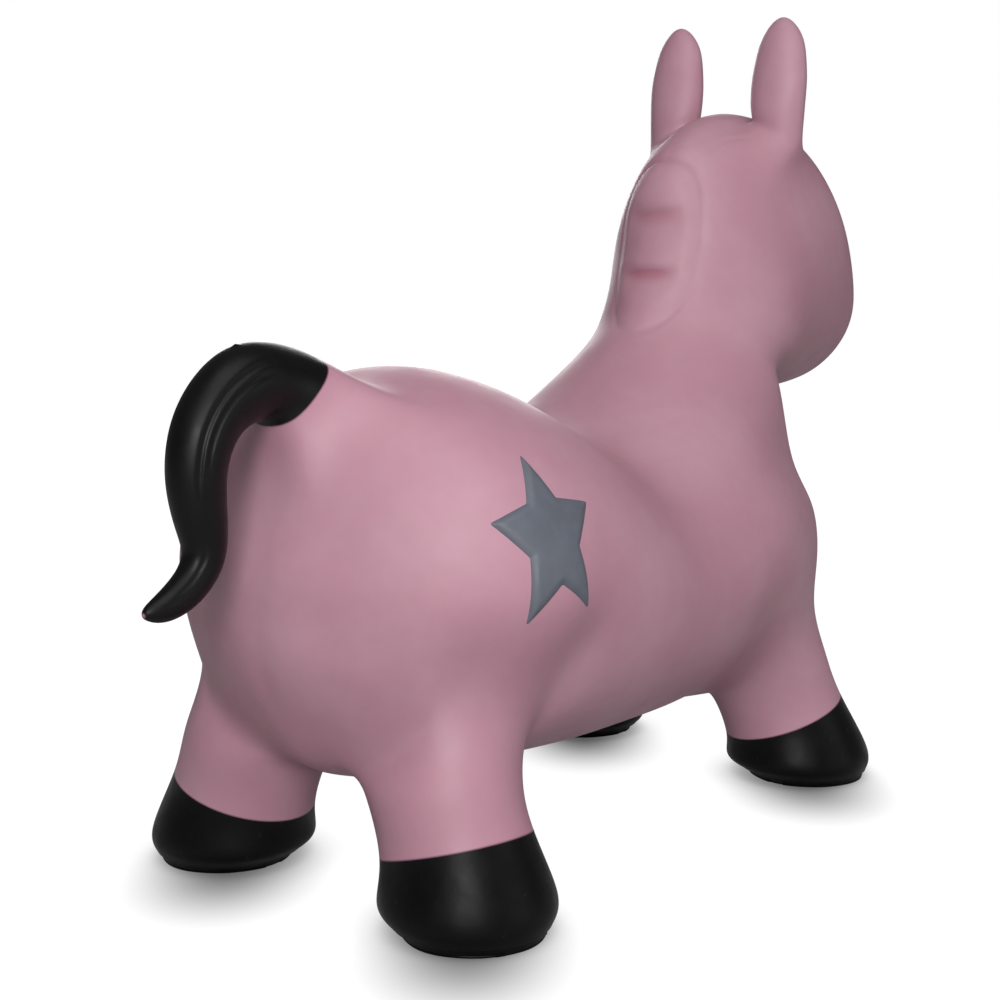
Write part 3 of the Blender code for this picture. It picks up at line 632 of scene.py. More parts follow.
def add_head(cage, rim):
    """The neck and head, which leave the body by a square hole, and the ears on top."""
    rings = []
    angles = mirrored_angles(NECK_COLUMN_DEGREES)
    for nape_x, nape_z, throat_x, throat_z, width, pinch in NECK_RING_SHARES:
        nape = Vector((nape_x * BODY_LENGTH, 0, BACK_HEIGHT + nape_z * HEAD_HEIGHT))
        throat = Vector((throat_x * BODY_LENGTH, 0, BACK_HEIGHT + throat_z * HEAD_HEIGHT))
        rings.append(cage.ring(oval_ring(nape, throat, width * HEAD_WIDTH, angles, pinch)))
    turned = match_start(cage, rim, rings[0])
    cage.bridge(turned, rings[0], "neck_and_head")
    ear_rows = (4, 6)
    open_faces = {(row, column) for row in range(*ear_rows) for column in (1, 2, 13, 14)}
    for row in range(len(rings) - 1):
        for column in range(SPINE_SIDES):
            if (row, column) in open_faces:
                continue
            after = (column + 1) % SPINE_SIDES
            corners = (rings[row][column], rings[row][after], rings[row + 1][after], rings[row + 1][column])
            cage.face(corners, "neck_and_head")
    cage.cap(rings[-1], "neck_and_head", Vector((NOSE_BULGE_SHARE * BODY_LENGTH, 0, 0)), start=2)
    for hand, columns in (("left", (1, 2, 3)), ("right", (15, 14, 13))):
        add_ear(cage, block_rim(rings, ear_rows, columns), hand)


def add_ear(cage, rim, hand):
    side = 1 if hand == "left" else -1
    root = sum((Vector(cage.points[number]) for number in rim), Vector()) / len(rim)
    root.y = side * EAR_SPREAD / 2
    rings = []
    for height, width, thickness, lean, droop in EAR_RING_SHARES:
        centre = root + Vector((lean * EAR_LENGTH, 0, height * EAR_LENGTH))
        ahead = Vector((EAR_THICKNESS / 2 * thickness, 0, 0))
        out = Vector((0, side, -droop)) * EAR_WIDTH / 2 * width
        angles = even_angles(LIMB_SIDES)
        rings.append(cage.ring([centre + ahead * math.cos(a) + out * math.sin(a) for a in angles]))
    cage.bridge(match_start(cage, rim, rings[0]), rings[0], "neck_and_head")
    for lower, upper in zip(rings, rings[1:]):
        cage.bridge(lower, upper, f"ear_{hand}")
    tip_rise = Vector((0, 0, EAR_LENGTH * EAR_TIP_SHARE))
    cage.cap(rings[-1], f"ear_{hand}", tip_rise, start=1)


def tail_places():
    """The tail's middle line, from the root to the tip, with its diameters."""
    root = Vector((TAIL_ROOT_BACK_SHARE * BODY_LENGTH, 0, TAIL_ROOT_HEIGHT_SHARE * BACK_HEIGHT))
    return [
        (root + Vector((-back * TAIL_LENGTH, 0, up * TAIL_DROP)), share * TAIL_THICKNESS)
        for back, up, share in TAIL_RING_SHARES
    ]


def add_tail(cage, rim):
    places = tail_places()
    centres = [centre for centre, _ in places]
    # The root's ring is square to a line that leaves the back aslant, the others to the middle line
    alongs = [Vector((-1, 0, 1))]
    alongs += [after - before for before, after in zip(centres, centres[2:])]
    alongs.append(centres[-1] - centres[-2])
    rings = []
    for (centre, diameter), along in zip(places, alongs):
        across = Vector((along.z, 0, -along.x)).normalized()
        half = across * diameter / 2
        width = diameter / 2 * TAIL_FLATNESS_SHARE
        rings.append(cage.ring(oval_ring(centre + half, centre - half, width, even_angles(LIMB_SIDES))))
    cage.bridge(match_start(cage, rim, rings[0]), rings[0], "torso")
    for lower, upper in zip(rings, rings[1:]):
        cage.bridge(match_start(cage, lower, upper), upper, "tail")
    tip = (places[-1][0] - places[-2][0]) * TAIL_TIP_SHARE
    cage.cap(rings[-1], "tail", tip, start=1)


def limit_places(points, faces):
    """Where smooth subdivision of four-sided faces takes each cage point."""
    count = len(points)
    edge_sum = np.zeros((count, 3))
    face_sum = np.zeros((count, 3))
    valence = np.zeros(count)
    for step in range(4):
        corner = faces[:, step]
        np.add.at(edge_sum, corner, points[faces[:, (step + 1) % 4]] + points[faces[:, (step + 3) % 4]])
        np.add.at(face_sum, corner, points[faces[:, (step + 2) % 4]])
        np.add.at(valence, corner, 1)
    n = valence[:, None]
    # Each edge is met twice, once from each of its two faces
    return (n * n * points + 2 * edge_sum + face_sum) / (n * (n + 5))


def smooth_mesh(cage, levels):
    """The cage, moved out until its smooth surface passes near the chosen places, and subdivided."""
    used = sorted({number for face in cage.faces for number in face})
    wanted = np.array([tuple(cage.points[number]) for number in used])
    faces = np.searchsorted(used, np.array(cage.faces))
    firm = np.array([number not in cage.slack for number in used])
    points = wanted.copy()
    for _ in range(INTERPOLATION_PASSES):
        points[firm] += (wanted - limit_places(points, faces))[firm]
    mesh = bpy.data.meshes.new("cage")
    mesh.from_pydata(points.tolist(), [], faces.tolist())
    for polygon, zone in zip(mesh.polygons, cage.zones):
        polygon.material_index = ZONES.index(zone)
    for zone in ZONES:
        mesh.materials.append(bpy.data.materials.new(zone))
    bm = bmesh.new()
    bm.from_mesh(mesh)
    bmesh.ops.recalc_face_normals(bm, faces=bm.faces)
    bm.to_mesh(mesh)
    bm.free()
    guide = add_object("cage", mesh)
    modifier = guide.modifiers.new("smooth", "SUBSURF")
    modifier.levels = levels
    modifier.render_levels = levels
    graph = bpy.context.evaluated_depsgraph_get()
    smooth = bpy.data.meshes.new_from_object(guide.evaluated_get(graph))
    bpy.data.objects.remove(guide)
    bpy.data.meshes.remove(mesh)
    for zone in ZONES:
        bpy.data.materials.remove(bpy.data.materials[zone])
    return smooth


def places_of(mesh):
    values = np.zeros(len(mesh.vertices) * 3)
    mesh.vertices.foreach_get("co", values)
    return values.reshape(-1, 3)


def normals_of(mesh):
    values = np.zeros(len(mesh.vertices) * 3)
    mesh.vertex_normals.foreach_get("vector", values)
    return values.reshape(-1, 3)


# The moulded relief


def eased(value, low, high):
    """Nought below the low value, one above the high one, and a smooth rise between them."""
    share = np.clip((value - low) / (high - low), 0, 1)
    return share * share * (3 - 2 * share)


def hump(value, width):
    """A smooth bump of height one round nought."""
    return np.exp(-((value / width) ** 2))


def smoothed(places, faces, share, passes):
    """The places, each drawn towards the mean of its neighbours as far as its share says."""
    near = faces[(share[faces] > 0).any(axis=1)]
    used, near = np.unique(near, return_inverse=True)
    near = near.reshape(-1, 4)
    result = places[used]
    pull = share[used][:, None]
    starts, ends = near.ravel(), np.roll(near, -1, axis=1).ravel()
    met = np.bincount(starts, minlength=len(used)) + np.bincount(ends, minlength=len(used))
    for _ in range(passes):
        total = np.zeros_like(result)
        np.add.at(total, starts, result[ends])
        np.add.at(total, ends, result[starts])
        result += pull * (total / met[:, None] - result)
    places = places.copy()
    places[used] = result
    return places


def polyline_distance(p, line, steps=6):
    """How far each place is from a line through the points."""
    line = np.array(line)
    shares = np.arange(steps)[:, None] / steps
    dense = [before + (after - before) * shares for before, after in zip(line, line[1:])]
    dense = np.vstack([*dense, line[-1:]])
    return np.min([np.linalg.norm(p - place, axis=1) for place in dense], axis=0)


def mane_height(p, n, look):
    """The mane's pad with the rolls between its creases, and how much painted crease shade each place takes.
    """
    x, y, z = p.T
    power = MANE_CORNER_POWER
    upward = np.abs(z - MANE_MIDDLE_HEIGHT) / MANE_HALF_HEIGHT
    sideways = np.abs(y) / look.mane_half_width
    reach = (upward**power + sideways**power) ** (1 / power)
    nape = eased(-n[:, 0], *NAPE_FACING) * (x > 0)
    height = look.mane_relief * (1 - eased(reach, 1 - MANE_SWELL_SHARE, 1))
    furrow = MANE_SIDE_FURROW_SHARE + (1 - MANE_SIDE_FURROW_SHARE) * np.clip(upward, 0, 1) ** 2
    furrow *= np.where(z > MANE_MIDDLE_HEIGHT, 1, MANE_LOW_FURROW_SHARE)
    furrow *= hump(reach - 1, MANE_FURROW_SHARE)
    height -= look.furrow_depth * furrow
    within = (1 - eased(np.abs(y), *CREASE_ENDS)) * (reach < 1)
    # The furrow and the creases take painted shade
    fold = FURROW_SHADE_SHARE * furrow
    for crease, softness_above, softness_below, share in MANE_CREASES:
        above = z - crease
        cut = share * within * hump(above, np.where(above > 0, softness_above, softness_below))
        rise = above - ROLL_PLACE_SHARE * softness_above
        roll = share * within * hump(rise, ROLL_WIDTH_SHARE * softness_above)
        height += look.crease_depth * (ROLL_BULGE_SHARE * roll - cut)
        fold = np.maximum(fold, cut)
    return height * nape, fold * nape


def ear_arc_height(p):
    """The edge of the forelock's mound, as a shallow line behind each ear."""
    mirrored = np.stack([p[:, 0], np.abs(p[:, 1]), p[:, 2]], axis=1)
    return -hump(polyline_distance(mirrored, EAR_ARC), EAR_ARC_WIDTH)


def tail_line(shift, steps=12):
    """Points close together along the tail's middle line, with the half thickness and the length so far."""
    places = np.array([(*centre, diameter / 2) for centre, diameter in tail_places()])
    places[:, 0] -= shift
    padded = np.vstack([2 * places[0] - places[1], places, 2 * places[-1] - places[-2]])
    line = []
    for index in range(1, len(padded) - 2):
        before, here, there, after = padded[index - 1 : index + 3]
        for t in np.arange(steps) / steps:
            curve = 2 * here + (there - before) * t + (2 * before - 5 * here + 4 * there - after) * t**2
            line.append((curve + (3 * here - before - 3 * there + after) * t**3) / 2)
    line = np.array(line + [places[-1]])
    run = np.concatenate([[0], np.cumsum(np.linalg.norm(np.diff(line[:, :3], axis=0), axis=1))])
    return line, run


def tail_height(p, shift, look):
    """The grooves that run along both sides of the tail, and the pip on top of it."""
    line, run = tail_line(shift)
    tree = KDTree(len(line))
    for index, place in enumerate(line):
        tree.insert((place[0], 0, place[2]), index)
    tree.balance()
    nearest = np.array([tree.find((place[0], 0, place[2]))[1] for place in p])
    along = np.gradient(line[:, :3], axis=0)
    along /= np.linalg.norm(along, axis=1)[:, None]
    # The outer side of the curl is on the left of its run from root to tip, seen from the animal's right
    offset = p - line[nearest, :3]
    across = (along[nearest, 2] * offset[:, 0] - along[nearest, 0] * offset[:, 2]) / line[nearest, 3]
    reach = run[nearest]
    height = np.zeros(len(p))
    for place, width, share, start, full, fade, end in TAIL_GROOVES:
        present = eased(reach, start, full) * (1 - eased(reach, fade, end))
        height -= look.groove_depth * share * hump(across - place, width) * present
    away = np.linalg.norm(p - np.array(TAIL_PIP_PLACE), axis=1)
    return height + look.pip_height * hump(away, TAIL_PIP_RADIUS)


def face_height(p, look):
    """The nostrils and the mouth line."""
    x, y, z = p.T
    height = np.zeros(len(p))
    middle = np.array(NOSTRIL_PLACE)
    away = np.stack([x - middle[0], np.abs(y) - middle[1], z - middle[2]], axis=1)
    height -= look.nostril_depth * hump(np.linalg.norm(away, axis=1), NOSTRIL_RADIUS)
    line = MOUTH_HEIGHT + MOUTH_RISE * (np.abs(y) / MOUTH_HALF_WIDTH) ** 2
    wide = 1 - eased(np.abs(y), MOUTH_HALF_WIDTH * MOUTH_FADE_SHARE, MOUTH_HALF_WIDTH)
    return height - look.mouth_depth * hump(z - line, MOUTH_LINE_WIDTH) * wide * eased(x, *MUZZLE_START)


def rim_height(p, look):
    """The step round the sole."""
    z = p[:, 2]
    low, high = RIM_HEIGHTS
    return -look.rim_step * (1 - eased(z, low, high)) * (z > 0)


def ear_height(p, n, root, look):
    """The shallow hollow in an ear's front."""
    facing = eased(n[:, 0], *EAR_FACING)
    up = (p[:, 2] - root[2]) / EAR_LENGTH
    across = (np.abs(p[:, 1]) - EAR_SPREAD / 2) / (EAR_WIDTH / 2)
    within = 1 - eased(np.abs(across), *EAR_HOLLOW_SIDE_SHARES)
    within *= eased(up, *EAR_HOLLOW_START_SHARES) * (1 - eased(up, *EAR_HOLLOW_END_SHARES))
    return -look.ear_hollow * facing * within


@functools.lru_cache(maxsize=1)
def whole_skin(_key):
    """The finished skin in one: its places, normals, faces, the zone of each face, and a tree for rays."""
    look = settings("hopper_skin")
    cage = make_cage()
    coarse = smooth_mesh(cage, 1)
    ends = places_of(coarse)[:, 0]
    shift = (ends.min() + ends.max()) / 2
    bpy.data.meshes.remove(coarse)
    mesh = smooth_mesh(cage, look.levels)
    p = places_of(mesh)
    p[:, 0] -= shift
    faces = np.zeros(len(mesh.polygons) * 4, int)
    mesh.polygons.foreach_get("vertices", faces)
    faces = faces.reshape(-1, 4)
    zones = np.zeros(len(mesh.polygons), int)
    mesh.polygons.foreach_get("material_index", zones)
    p[:, 2] = np.maximum(p[:, 2], 0)
    # A blown skin fills out the fold round each ear's root
    mirrored = np.stack([p[:, 0], np.abs(p[:, 1]), p[:, 2]], axis=1)
    away = np.linalg.norm(mirrored - np.array(EAR_ROOT_PLACE), axis=1)
    p = smoothed(p, faces, EAR_ROOT_PULL * (1 - eased(away, *EAR_ROOT_REACH)), EAR_ROOT_PASSES)
    mesh.vertices.foreach_set("co", p.ravel())
    mesh.update()
    n = normals_of(mesh)
    lift = np.zeros(len(p))
    # How much painted shade each place takes in the mane's creases and furrow
    fold = np.zeros(len(p))
    in_zone = {zone: np.unique(faces[zones == index]) for index, zone in enumerate(ZONES)}
    head = in_zone["neck_and_head"]
    lift[head], fold[head] = mane_height(p[head], n[head], look)
    lift[head] += face_height(p[head], look)
    lift[head] += look.ear_arc_depth * ear_arc_height(p[head])
    tail = in_zone["tail"]
    lift[tail] += tail_height(p[tail], shift, look)
    for end, hand in LEGS:
        hoof = in_zone[f"hoof_{end}_{hand}"]
        lift[hoof] += rim_height(p[hoof], look)
    for hand in HANDS:
        ear = in_zone[f"ear_{hand}"]
        lift[ear] += ear_height(p[ear], n[ear], p[ear].min(axis=0), look)
    p += n * lift[:, None]
    p[:, 2] = np.maximum(p[:, 2], 0)
    mesh.vertices.foreach_set("co", p.ravel())
    mesh.update()
    normals = normals_of(mesh)
    tree = BVHTree.FromPolygons(p.tolist(), faces.tolist())
    bpy.data.meshes.remove(mesh)
    return {
        "places": p,
        "normals": normals,
        "faces": faces,
        "zones": zones,
        "fold": fold,
        "tree": tree,
        "shift": shift,
    }


SKIN_LENGTHS = (
    "mane_relief",
    "mane_half_width",
    "furrow_depth",
    "crease_depth",
    "ear_arc_depth",
    "groove_depth",
    "pip_height",
    "rim_step",
    "nostril_depth",
    "mouth_depth",
    "ear_hollow",
)


def skin():
    """The finished skin, made again only when one of its sizes has changed."""
    look = settings("hopper_skin")
    return whole_skin((look.levels, *(round(getattr(look, name), 7) for name in SKIN_LENGTHS)))


def paint_lines(whole):
    """A tree of the points where bare vinyl meets paint."""
    dark = np.array([zone.startswith(("hoof", "tail")) for zone in ZONES])
    painted = dark[whole["zones"]]
    on_paint = np.zeros(len(whole["places"]), bool)
    on_paint[np.unique(whole["faces"][painted])] = True
    bare = np.zeros(len(whole["places"]), bool)
    bare[np.unique(whole["faces"][~painted])] = True
    numbers = np.nonzero(on_paint & bare)[0]
    tree = KDTree(len(numbers))
    for number in numbers:
        tree.insert(whole["places"][number], int(number))
    tree.balance()
    return tree


def add_piece(name, places, faces, material):
    """An object at the origin, with its place in its mesh."""
    mesh = bpy.data.meshes.new(name)
    mesh.from_pydata(np.asarray(places).tolist(), [], np.asarray(faces).tolist())
    mesh.materials.append(material)
    mesh.shade_smooth()
    piece = add_object(name, mesh)
    return piece


def add_values(mesh, name, values):
    """A named number for each point of the mesh, which materials read."""
    attribute = mesh.attributes.new(name, "FLOAT", "POINT")
    attribute.data.foreach_set("value", np.array(values, np.float32))


def zone_piece(name, zone, material, edit=None):
    """One zone of the skin as a piece, shaded as part of the whole, with its distance from paint lines."""
    whole = skin()
    chosen = whole["faces"][whole["zones"] == ZONES.index(zone)]
    used, faces = np.unique(chosen, return_inverse=True)
    faces = faces.reshape(-1, 4)
    places = whole["places"][used]
    normals = whole["normals"][used]
    if edit:
        places, normals, faces = edit(places, normals, faces)
    piece = add_piece(name, places, faces, material)
    lines = paint_lines(whole)
    add_values(piece.data, "paint_line", [lines.find(place)[2] for place in places])
    if zone == "neck_and_head":
        # How much painted crease shade each place of the head takes
        add_values(piece.data, "fold", whole["fold"][used])
    if zone == "tail":
        away = np.linalg.norm(places - np.array(TAIL_TIP_PLACE), axis=1)
        add_values(piece.data, "bare", 1 - eased(away, *BARE_TIP_RADII))
    piece.data.normals_split_custom_set_from_vertices(normals.tolist())
    return piece


# Materials

SMOOTH = {"interpolation_type": "SMOOTHSTEP"}


def add_node(tree, kind, inputs=(), **options):
    """A node with its options, whose inputs are given by name or in order.

    An input takes a plain value, a socket, or a node, which stands for its first output.
    """
    node = tree.nodes.new(kind)
    for name, value in options.items():
        setattr(node, name, value)
    for name, value in inputs.items() if isinstance(inputs, dict) else enumerate(inputs):
        if isinstance(value, bpy.types.Node):
            value = value.outputs[0]
        if isinstance(value, bpy.types.NodeSocket):
            tree.links.new(value, node.inputs[name])
        else:
            node.inputs[name].default_value = value
    return node


def new_material(name, **values):
    """A material with one Principled shader set to the values, and its object coordinates."""
    material = bpy.data.materials.new(name)
    material.use_nodes = True
    tree = material.node_tree
    shader = tree.nodes["Principled BSDF"]
    for key, value in values.items():
        shader.inputs[key.replace("_", " ").title().replace("Ior", "IOR")].default_value = value
    source = add_node(tree, "ShaderNodeTexCoord")
    places = add_node(tree, "ShaderNodeMapping", {"Vector": source.outputs["Object"]})
    return material, tree, shader, places


def with_alpha(rgb):
    return (*rgb[:3], 1)


def shade(rgb, share):
    """A lighter or darker shade of a colour."""
    return tuple(min(share * v, 1) for v in rgb)


def clouds(tree, places, scale, detail, *bounds):
    """Soft clouds of noise, graded between two of its values, and if given from one level to another."""
    noise = add_node(tree, "ShaderNodeTexNoise", {"Vector": places, "Scale": scale, "Detail": detail})
    return add_node(tree, "ShaderNodeMapRange", [noise, *bounds], **SMOOTH)


def layered(tree, base, *coats):
    """A base colour with other colours laid over it, each by its share."""
    result = with_alpha(base)
    for share, rgb in coats:
        inputs = {0: share, 6: result, 7: with_alpha(rgb)}
        result = add_node(tree, "ShaderNodeMix", inputs, data_type="RGBA").outputs[2]
    return result


def finish_surface(tree, shader, places, base, rough, strength, *layers):
    """Gives the shader its colour, its roughness and its bumps.

    The bumps are layers of noise, each with its scale, its detail and its height in metres.
    """
    relief = 0.0
    for scale, detail, height in layers:
        noise = add_node(tree, "ShaderNodeTexNoise", {"Vector": places, "Scale": scale, "Detail": detail})
        relief = add_node(tree, "ShaderNodeMath", [noise, height, relief], operation="MULTIPLY_ADD")
    bump = add_node(tree, "ShaderNodeBump", {"Height": relief, "Distance": 1.0, "Strength": strength})
    tree.links.new(base, shader.inputs["Base Color"])
    tree.links.new(rough.outputs[0], shader.inputs["Roughness"])
    tree.links.new(bump.outputs[0], shader.inputs["Normal"])


def once(make):
    """Makes a material the first time it is asked for, and then gives the same one."""

    @functools.wraps(make)
    def get():
        name = make.__name__
        return bpy.data.materials.get(name) or make(name)

    return get


@once
def rotomoulded_vinyl(name):
    """Soft PVC, cast in a rotating mould: matte, faintly pebbled, with a pale bloom in soft clouds."""
    look = settings("hopper_skin")
    material, tree, shader, places = new_material(name, ior=1.53, metallic=0)
    # The bloom lies in clouds some 60 mm across, and the pigment is mottled at 6 mm
    bloom = clouds(tree, places, 16.0, 3.0, 0.35, 0.70)
    mottle = clouds(tree, places, 160.0, 2.0, 0.30, 0.75, 0.0, 0.10)
    # A few dark specks half a millimetre wide, trapped in the cast
    cells = add_node(tree, "ShaderNodeTexVoronoi", {"Vector": places, "Scale": 26.0}, feature="F1")
    speck = add_node(tree, "ShaderNodeMapRange", [cells, 0.012, 0.020, 0.35, 0.0], **SMOOTH)
    # The vinyl is painted darker and redder down in the mane's creases and furrow, as shade
    fold = add_node(tree, "ShaderNodeAttribute", attribute_name="fold").outputs["Fac"]
    painted_crease_mix = add_node(tree, "ShaderNodeMapRange", [fold, 0.15, 1.0, 0.0, 0.55], **SMOOTH)
    # Overspray tints the first half millimetre beside a paint line
    line = add_node(tree, "ShaderNodeAttribute", attribute_name="paint_line").outputs["Fac"]
    tint = add_node(tree, "ShaderNodeMapRange", [line, 0.0003, 0.0008, 0.85, 0.0], **SMOOTH)
    base = layered(
        tree,
        look.vinyl,
        (bloom, look.vinyl_bloom),
        (mottle, shade(look.vinyl, 0.80)),
        (speck, shade(look.vinyl, 0.45)),
        (painted_crease_mix, look.fold),
        (tint, look.paint_edge),
    )
    rough = clouds(tree, places, 45.0, 3.0, 0.30, 0.70, 0.50, 0.58)
    # The mould's blasted texture is drawn at 1 mm, coarser than it is, over a slow unevenness of 12 mm
    finish_surface(tree, shader, places, base, rough, 0.6, (900.0, 2.0, 0.00006), (80.0, 1.0, 0.00030))
    return material


def black_vinyl_paint(name, scuffs, shine):
    """Satin black vinyl paint, sprayed: an even soft gloss, thin at its masked edge, rubbed in places."""
    look = settings("hopper_paint")
    bare_look = settings("hopper_skin")
    material, tree, shader, places = new_material(name, ior=1.50, metallic=0, specular_ior_level=shine)
    drawn_out = {"Vector": places, "Scale": (1.0, 2.6, 1.0), "Rotation": (0.6, 0.9, 0.7)}
    scratch = add_node(tree, "ShaderNodeMapping", drawn_out)
    rub = clouds(tree, scratch, 170.0, 7.0, 0.66, 0.74, 0.0, scuffs)
    line = add_node(tree, "ShaderNodeAttribute", attribute_name="paint_line").outputs["Fac"]
    thin = add_node(tree, "ShaderNodeMapRange", [line, 0.0, 0.0006, 0.20, 0.0], **SMOOTH)
    # The paint leaves the tip of the tail bare
    bare = add_node(tree, "ShaderNodeAttribute", attribute_name="bare").outputs["Fac"]
    base = layered(
        tree, look.black, (rub, look.scuff), (thin, bare_look.paint_edge), (bare, bare_look.vinyl)
    )
    rough = clouds(tree, places, 90.0, 4.0, 0.30, 0.75, 0.36, 0.48)
    # The mould's grain shows through the paint, with the sprayed coat's own orange peel of 4 mm
    finish_surface(tree, shader, places, base, rough, 0.6, (900.0, 2.0, 0.00004), (240.0, 2.0, 0.00008))
    return material


@once
def hoof_paint(name):
    """Black vinyl paint, scuffed by the floor."""
    return black_vinyl_paint(name, 0.6, 0.13)


@once
def tail_paint(name):
    """Black vinyl paint, less scuffed and a little glossier than the hooves'."""
    return black_vinyl_paint(name, 0.25, 0.20)


def plain_paint(name, rgb, roughness, worn):
    """Brushed-on vinyl paint: flat in colour, with a slow cloud where it is thinner."""
    material, tree, shader, places = new_material(name, ior=1.50, metallic=0)
    thin = clouds(tree, places, 120.0, 4.0, 0.30, 0.75, 0.0, worn)
    base = layered(tree, rgb, (thin, shade(rgb, 1.25)))
    rough = clouds(tree, places, 300.0, 3.0, 0.30, 0.70, roughness - 0.04, roughness + 0.06)
    finish_surface(tree, shader, places, base, rough, 0.5, (700.0, 2.0, 0.00005))
    return material


@once
def star_vinyl_paint(name):
    """Blue grey vinyl paint, matte, on the moulded star."""
    return plain_paint(name, settings("hopper_paint").star, 0.50, 0.5)


@once
def eye_gloss_paint(name):
    """Gloss black paint, which takes a small bright highlight."""
    return plain_paint(name, settings("hopper_paint").eye, 0.14, 0.2)


@once
def natural_polyethylene(name):
    """Injection moulded polyethylene without pigment: milky, waxy and smooth."""
    look = settings("hopper_valve")
    return plain_paint(name, look.plug_colour, 0.38, 0.3)


# The raised plates, which follow the skin


def plate_tree():
    """A Geometry Nodes tree that lays a raised star or disc on the surface it is given."""
    tree = bpy.data.node_groups.get("Raised Plate")
    if tree:
        return tree
    tree = bpy.data.node_groups.new("Raised Plate", "GeometryNodeTree")
    tree.interface.new_socket("Geometry", in_out="OUTPUT", socket_type="NodeSocketGeometry")
    for kind, names in (
        ("Geometry", ("Surface",)),
        ("Int", ("Points",)),
        ("Float", ("Width", "Height", "Notch Share", "Corner Radius", "Relief", "Edge Width", "Sink")),
        ("Vector", ("Centre", "Ahead", "Upward")),
        ("Material", ("Material",)),
    ):
        for name in names:
            tree.interface.new_socket(name, in_out="INPUT", socket_type=f"NodeSocket{kind}")
    given = add_node(tree, "NodeGroupInput").outputs
    outline = add_node(
        tree,
        "GeometryNodeCurveStar",
        {"Points": given["Points"], "Inner Radius": given["Notch Share"], "Outer Radius": 1.0},
    )
    diameters = add_node(tree, "ShaderNodeCombineXYZ", [given["Height"], given["Width"], 1.0])
    halved = add_node(tree, "ShaderNodeVectorMath", {0: diameters, "Scale": 0.5}, operation="SCALE")
    sized = add_node(tree, "GeometryNodeTransform", {"Geometry": outline, "Scale": halved})
    rounded = add_node(
        tree,
        "GeometryNodeFilletCurve",
        {"Curve": sized, "Count": 6, "Radius": given["Corner Radius"], "Limit Radius": True},
        mode="POLY",
    )
    # A grid is bent round into rings, which crowd towards the rim
    grid = add_node(
        tree,
        "GeometryNodeMeshGrid",
        {"Size X": 1.0, "Size Y": 1.0, "Vertices X": PLATE_SPOKES + 1, "Vertices Y": PLATE_RINGS + 1},
    )
    here = add_node(tree, "GeometryNodeInputPosition")
    parts = add_node(tree, "ShaderNodeSeparateXYZ", [here]).outputs
    along = add_node(tree, "ShaderNodeMath", [parts["X"], 0.5], operation="ADD")
    inward = add_node(tree, "ShaderNodeMath", [0.5, parts["Y"]], operation="SUBTRACT")
    square = add_node(tree, "ShaderNodeMath", [inward, 2.0], operation="POWER")
    share = add_node(tree, "ShaderNodeMath", [1.0, square], operation="SUBTRACT")
    sample = add_node(tree, "GeometryNodeSampleCurve", {"Curves": rounded, "Factor": along}, mode="FACTOR")
    spoke = add_node(
        tree, "ShaderNodeVectorMath", {0: sample.outputs["Position"], "Scale": share}, operation="SCALE"
    )
    dense = add_node(tree, "GeometryNodeSetPosition", {"Geometry": grid, "Position": spoke})
    rim = add_node(tree, "GeometryNodeCurveToMesh", {"Curve": rounded})
    near = add_node(tree, "GeometryNodeProximity", [rim], target_element="EDGES")
    kept = add_node(tree, "GeometryNodeCaptureAttribute")
    kept.capture_items.new("FLOAT", "Rim Distance")
    tree.links.new(dense.outputs[0], kept.inputs["Geometry"])
    tree.links.new(near.outputs["Distance"], kept.inputs["Rim Distance"])
    # Each point is moved to its place off the skin, and from there straight in on to it
    axes = [given["Ahead"], given["Upward"]]
    outward = add_node(tree, "ShaderNodeVectorMath", axes, operation="CROSS_PRODUCT")
    inwards = add_node(tree, "ShaderNodeVectorMath", {0: outward, "Scale": -1.0}, operation="SCALE")
    start = given["Centre"]
    for axis, reach in (*zip(axes, (parts["X"], parts["Y"])), (outward, (PLATE_RAY_START,) * 3)):
        start = add_node(tree, "ShaderNodeVectorMath", [axis, reach, start], operation="MULTIPLY_ADD")
    ray = add_node(
        tree,
        "GeometryNodeRaycast",
        {
            "Target Geometry": given["Surface"],
            "Source Position": start,
            "Ray Direction": inwards,
            "Ray Length": PLATE_RAY_LENGTH,
        },
    ).outputs
    span = add_node(tree, "ShaderNodeMath", [given["Relief"], given["Sink"]], operation="ADD")
    # The edge rises steeply from the skin and rounds over on to the flat
    rim_distance = kept.outputs["Rim Distance"]
    left = add_node(tree, "ShaderNodeMapRange", [rim_distance, 0.0, given["Edge Width"], 1.0, 0.0])
    left = add_node(tree, "ShaderNodeMath", [left, 2.0], operation="POWER")
    fallen = add_node(tree, "ShaderNodeMath", [left, span], operation="MULTIPLY")
    lift = add_node(tree, "ShaderNodeMath", [given["Relief"], fallen], operation="SUBTRACT")
    under = add_node(tree, "ShaderNodeMath", [given["Sink"], -1.0], operation="MULTIPLY")
    sides = []
    for height in (lift, under):
        inputs = [ray["Hit Normal"], height, ray["Hit Position"]]
        raised = add_node(tree, "ShaderNodeVectorMath", inputs, operation="MULTIPLY_ADD")
        sides.append(add_node(tree, "GeometryNodeSetPosition", {"Geometry": kept, "Position": raised}))
    turned = add_node(tree, "GeometryNodeFlipFaces", {"Mesh": sides[1]})
    both = add_node(tree, "GeometryNodeJoinGeometry", [sides[0]])
    tree.links.new(turned.outputs[0], both.inputs[0])
    closed = add_node(tree, "GeometryNodeMergeByDistance", {"Geometry": both, "Distance": WELD_DISTANCE})
    smooth = add_node(tree, "GeometryNodeSetShadeSmooth", {"Geometry": closed})
    real = add_node(tree, "GeometryNodeRealizeInstances", {"Geometry": smooth})
    painted = add_node(
        tree, "GeometryNodeSetMaterial", {"Geometry": real, "Material": given["Material"]}
    )
    add_node(tree, "NodeGroupOutput", [painted])
    return tree


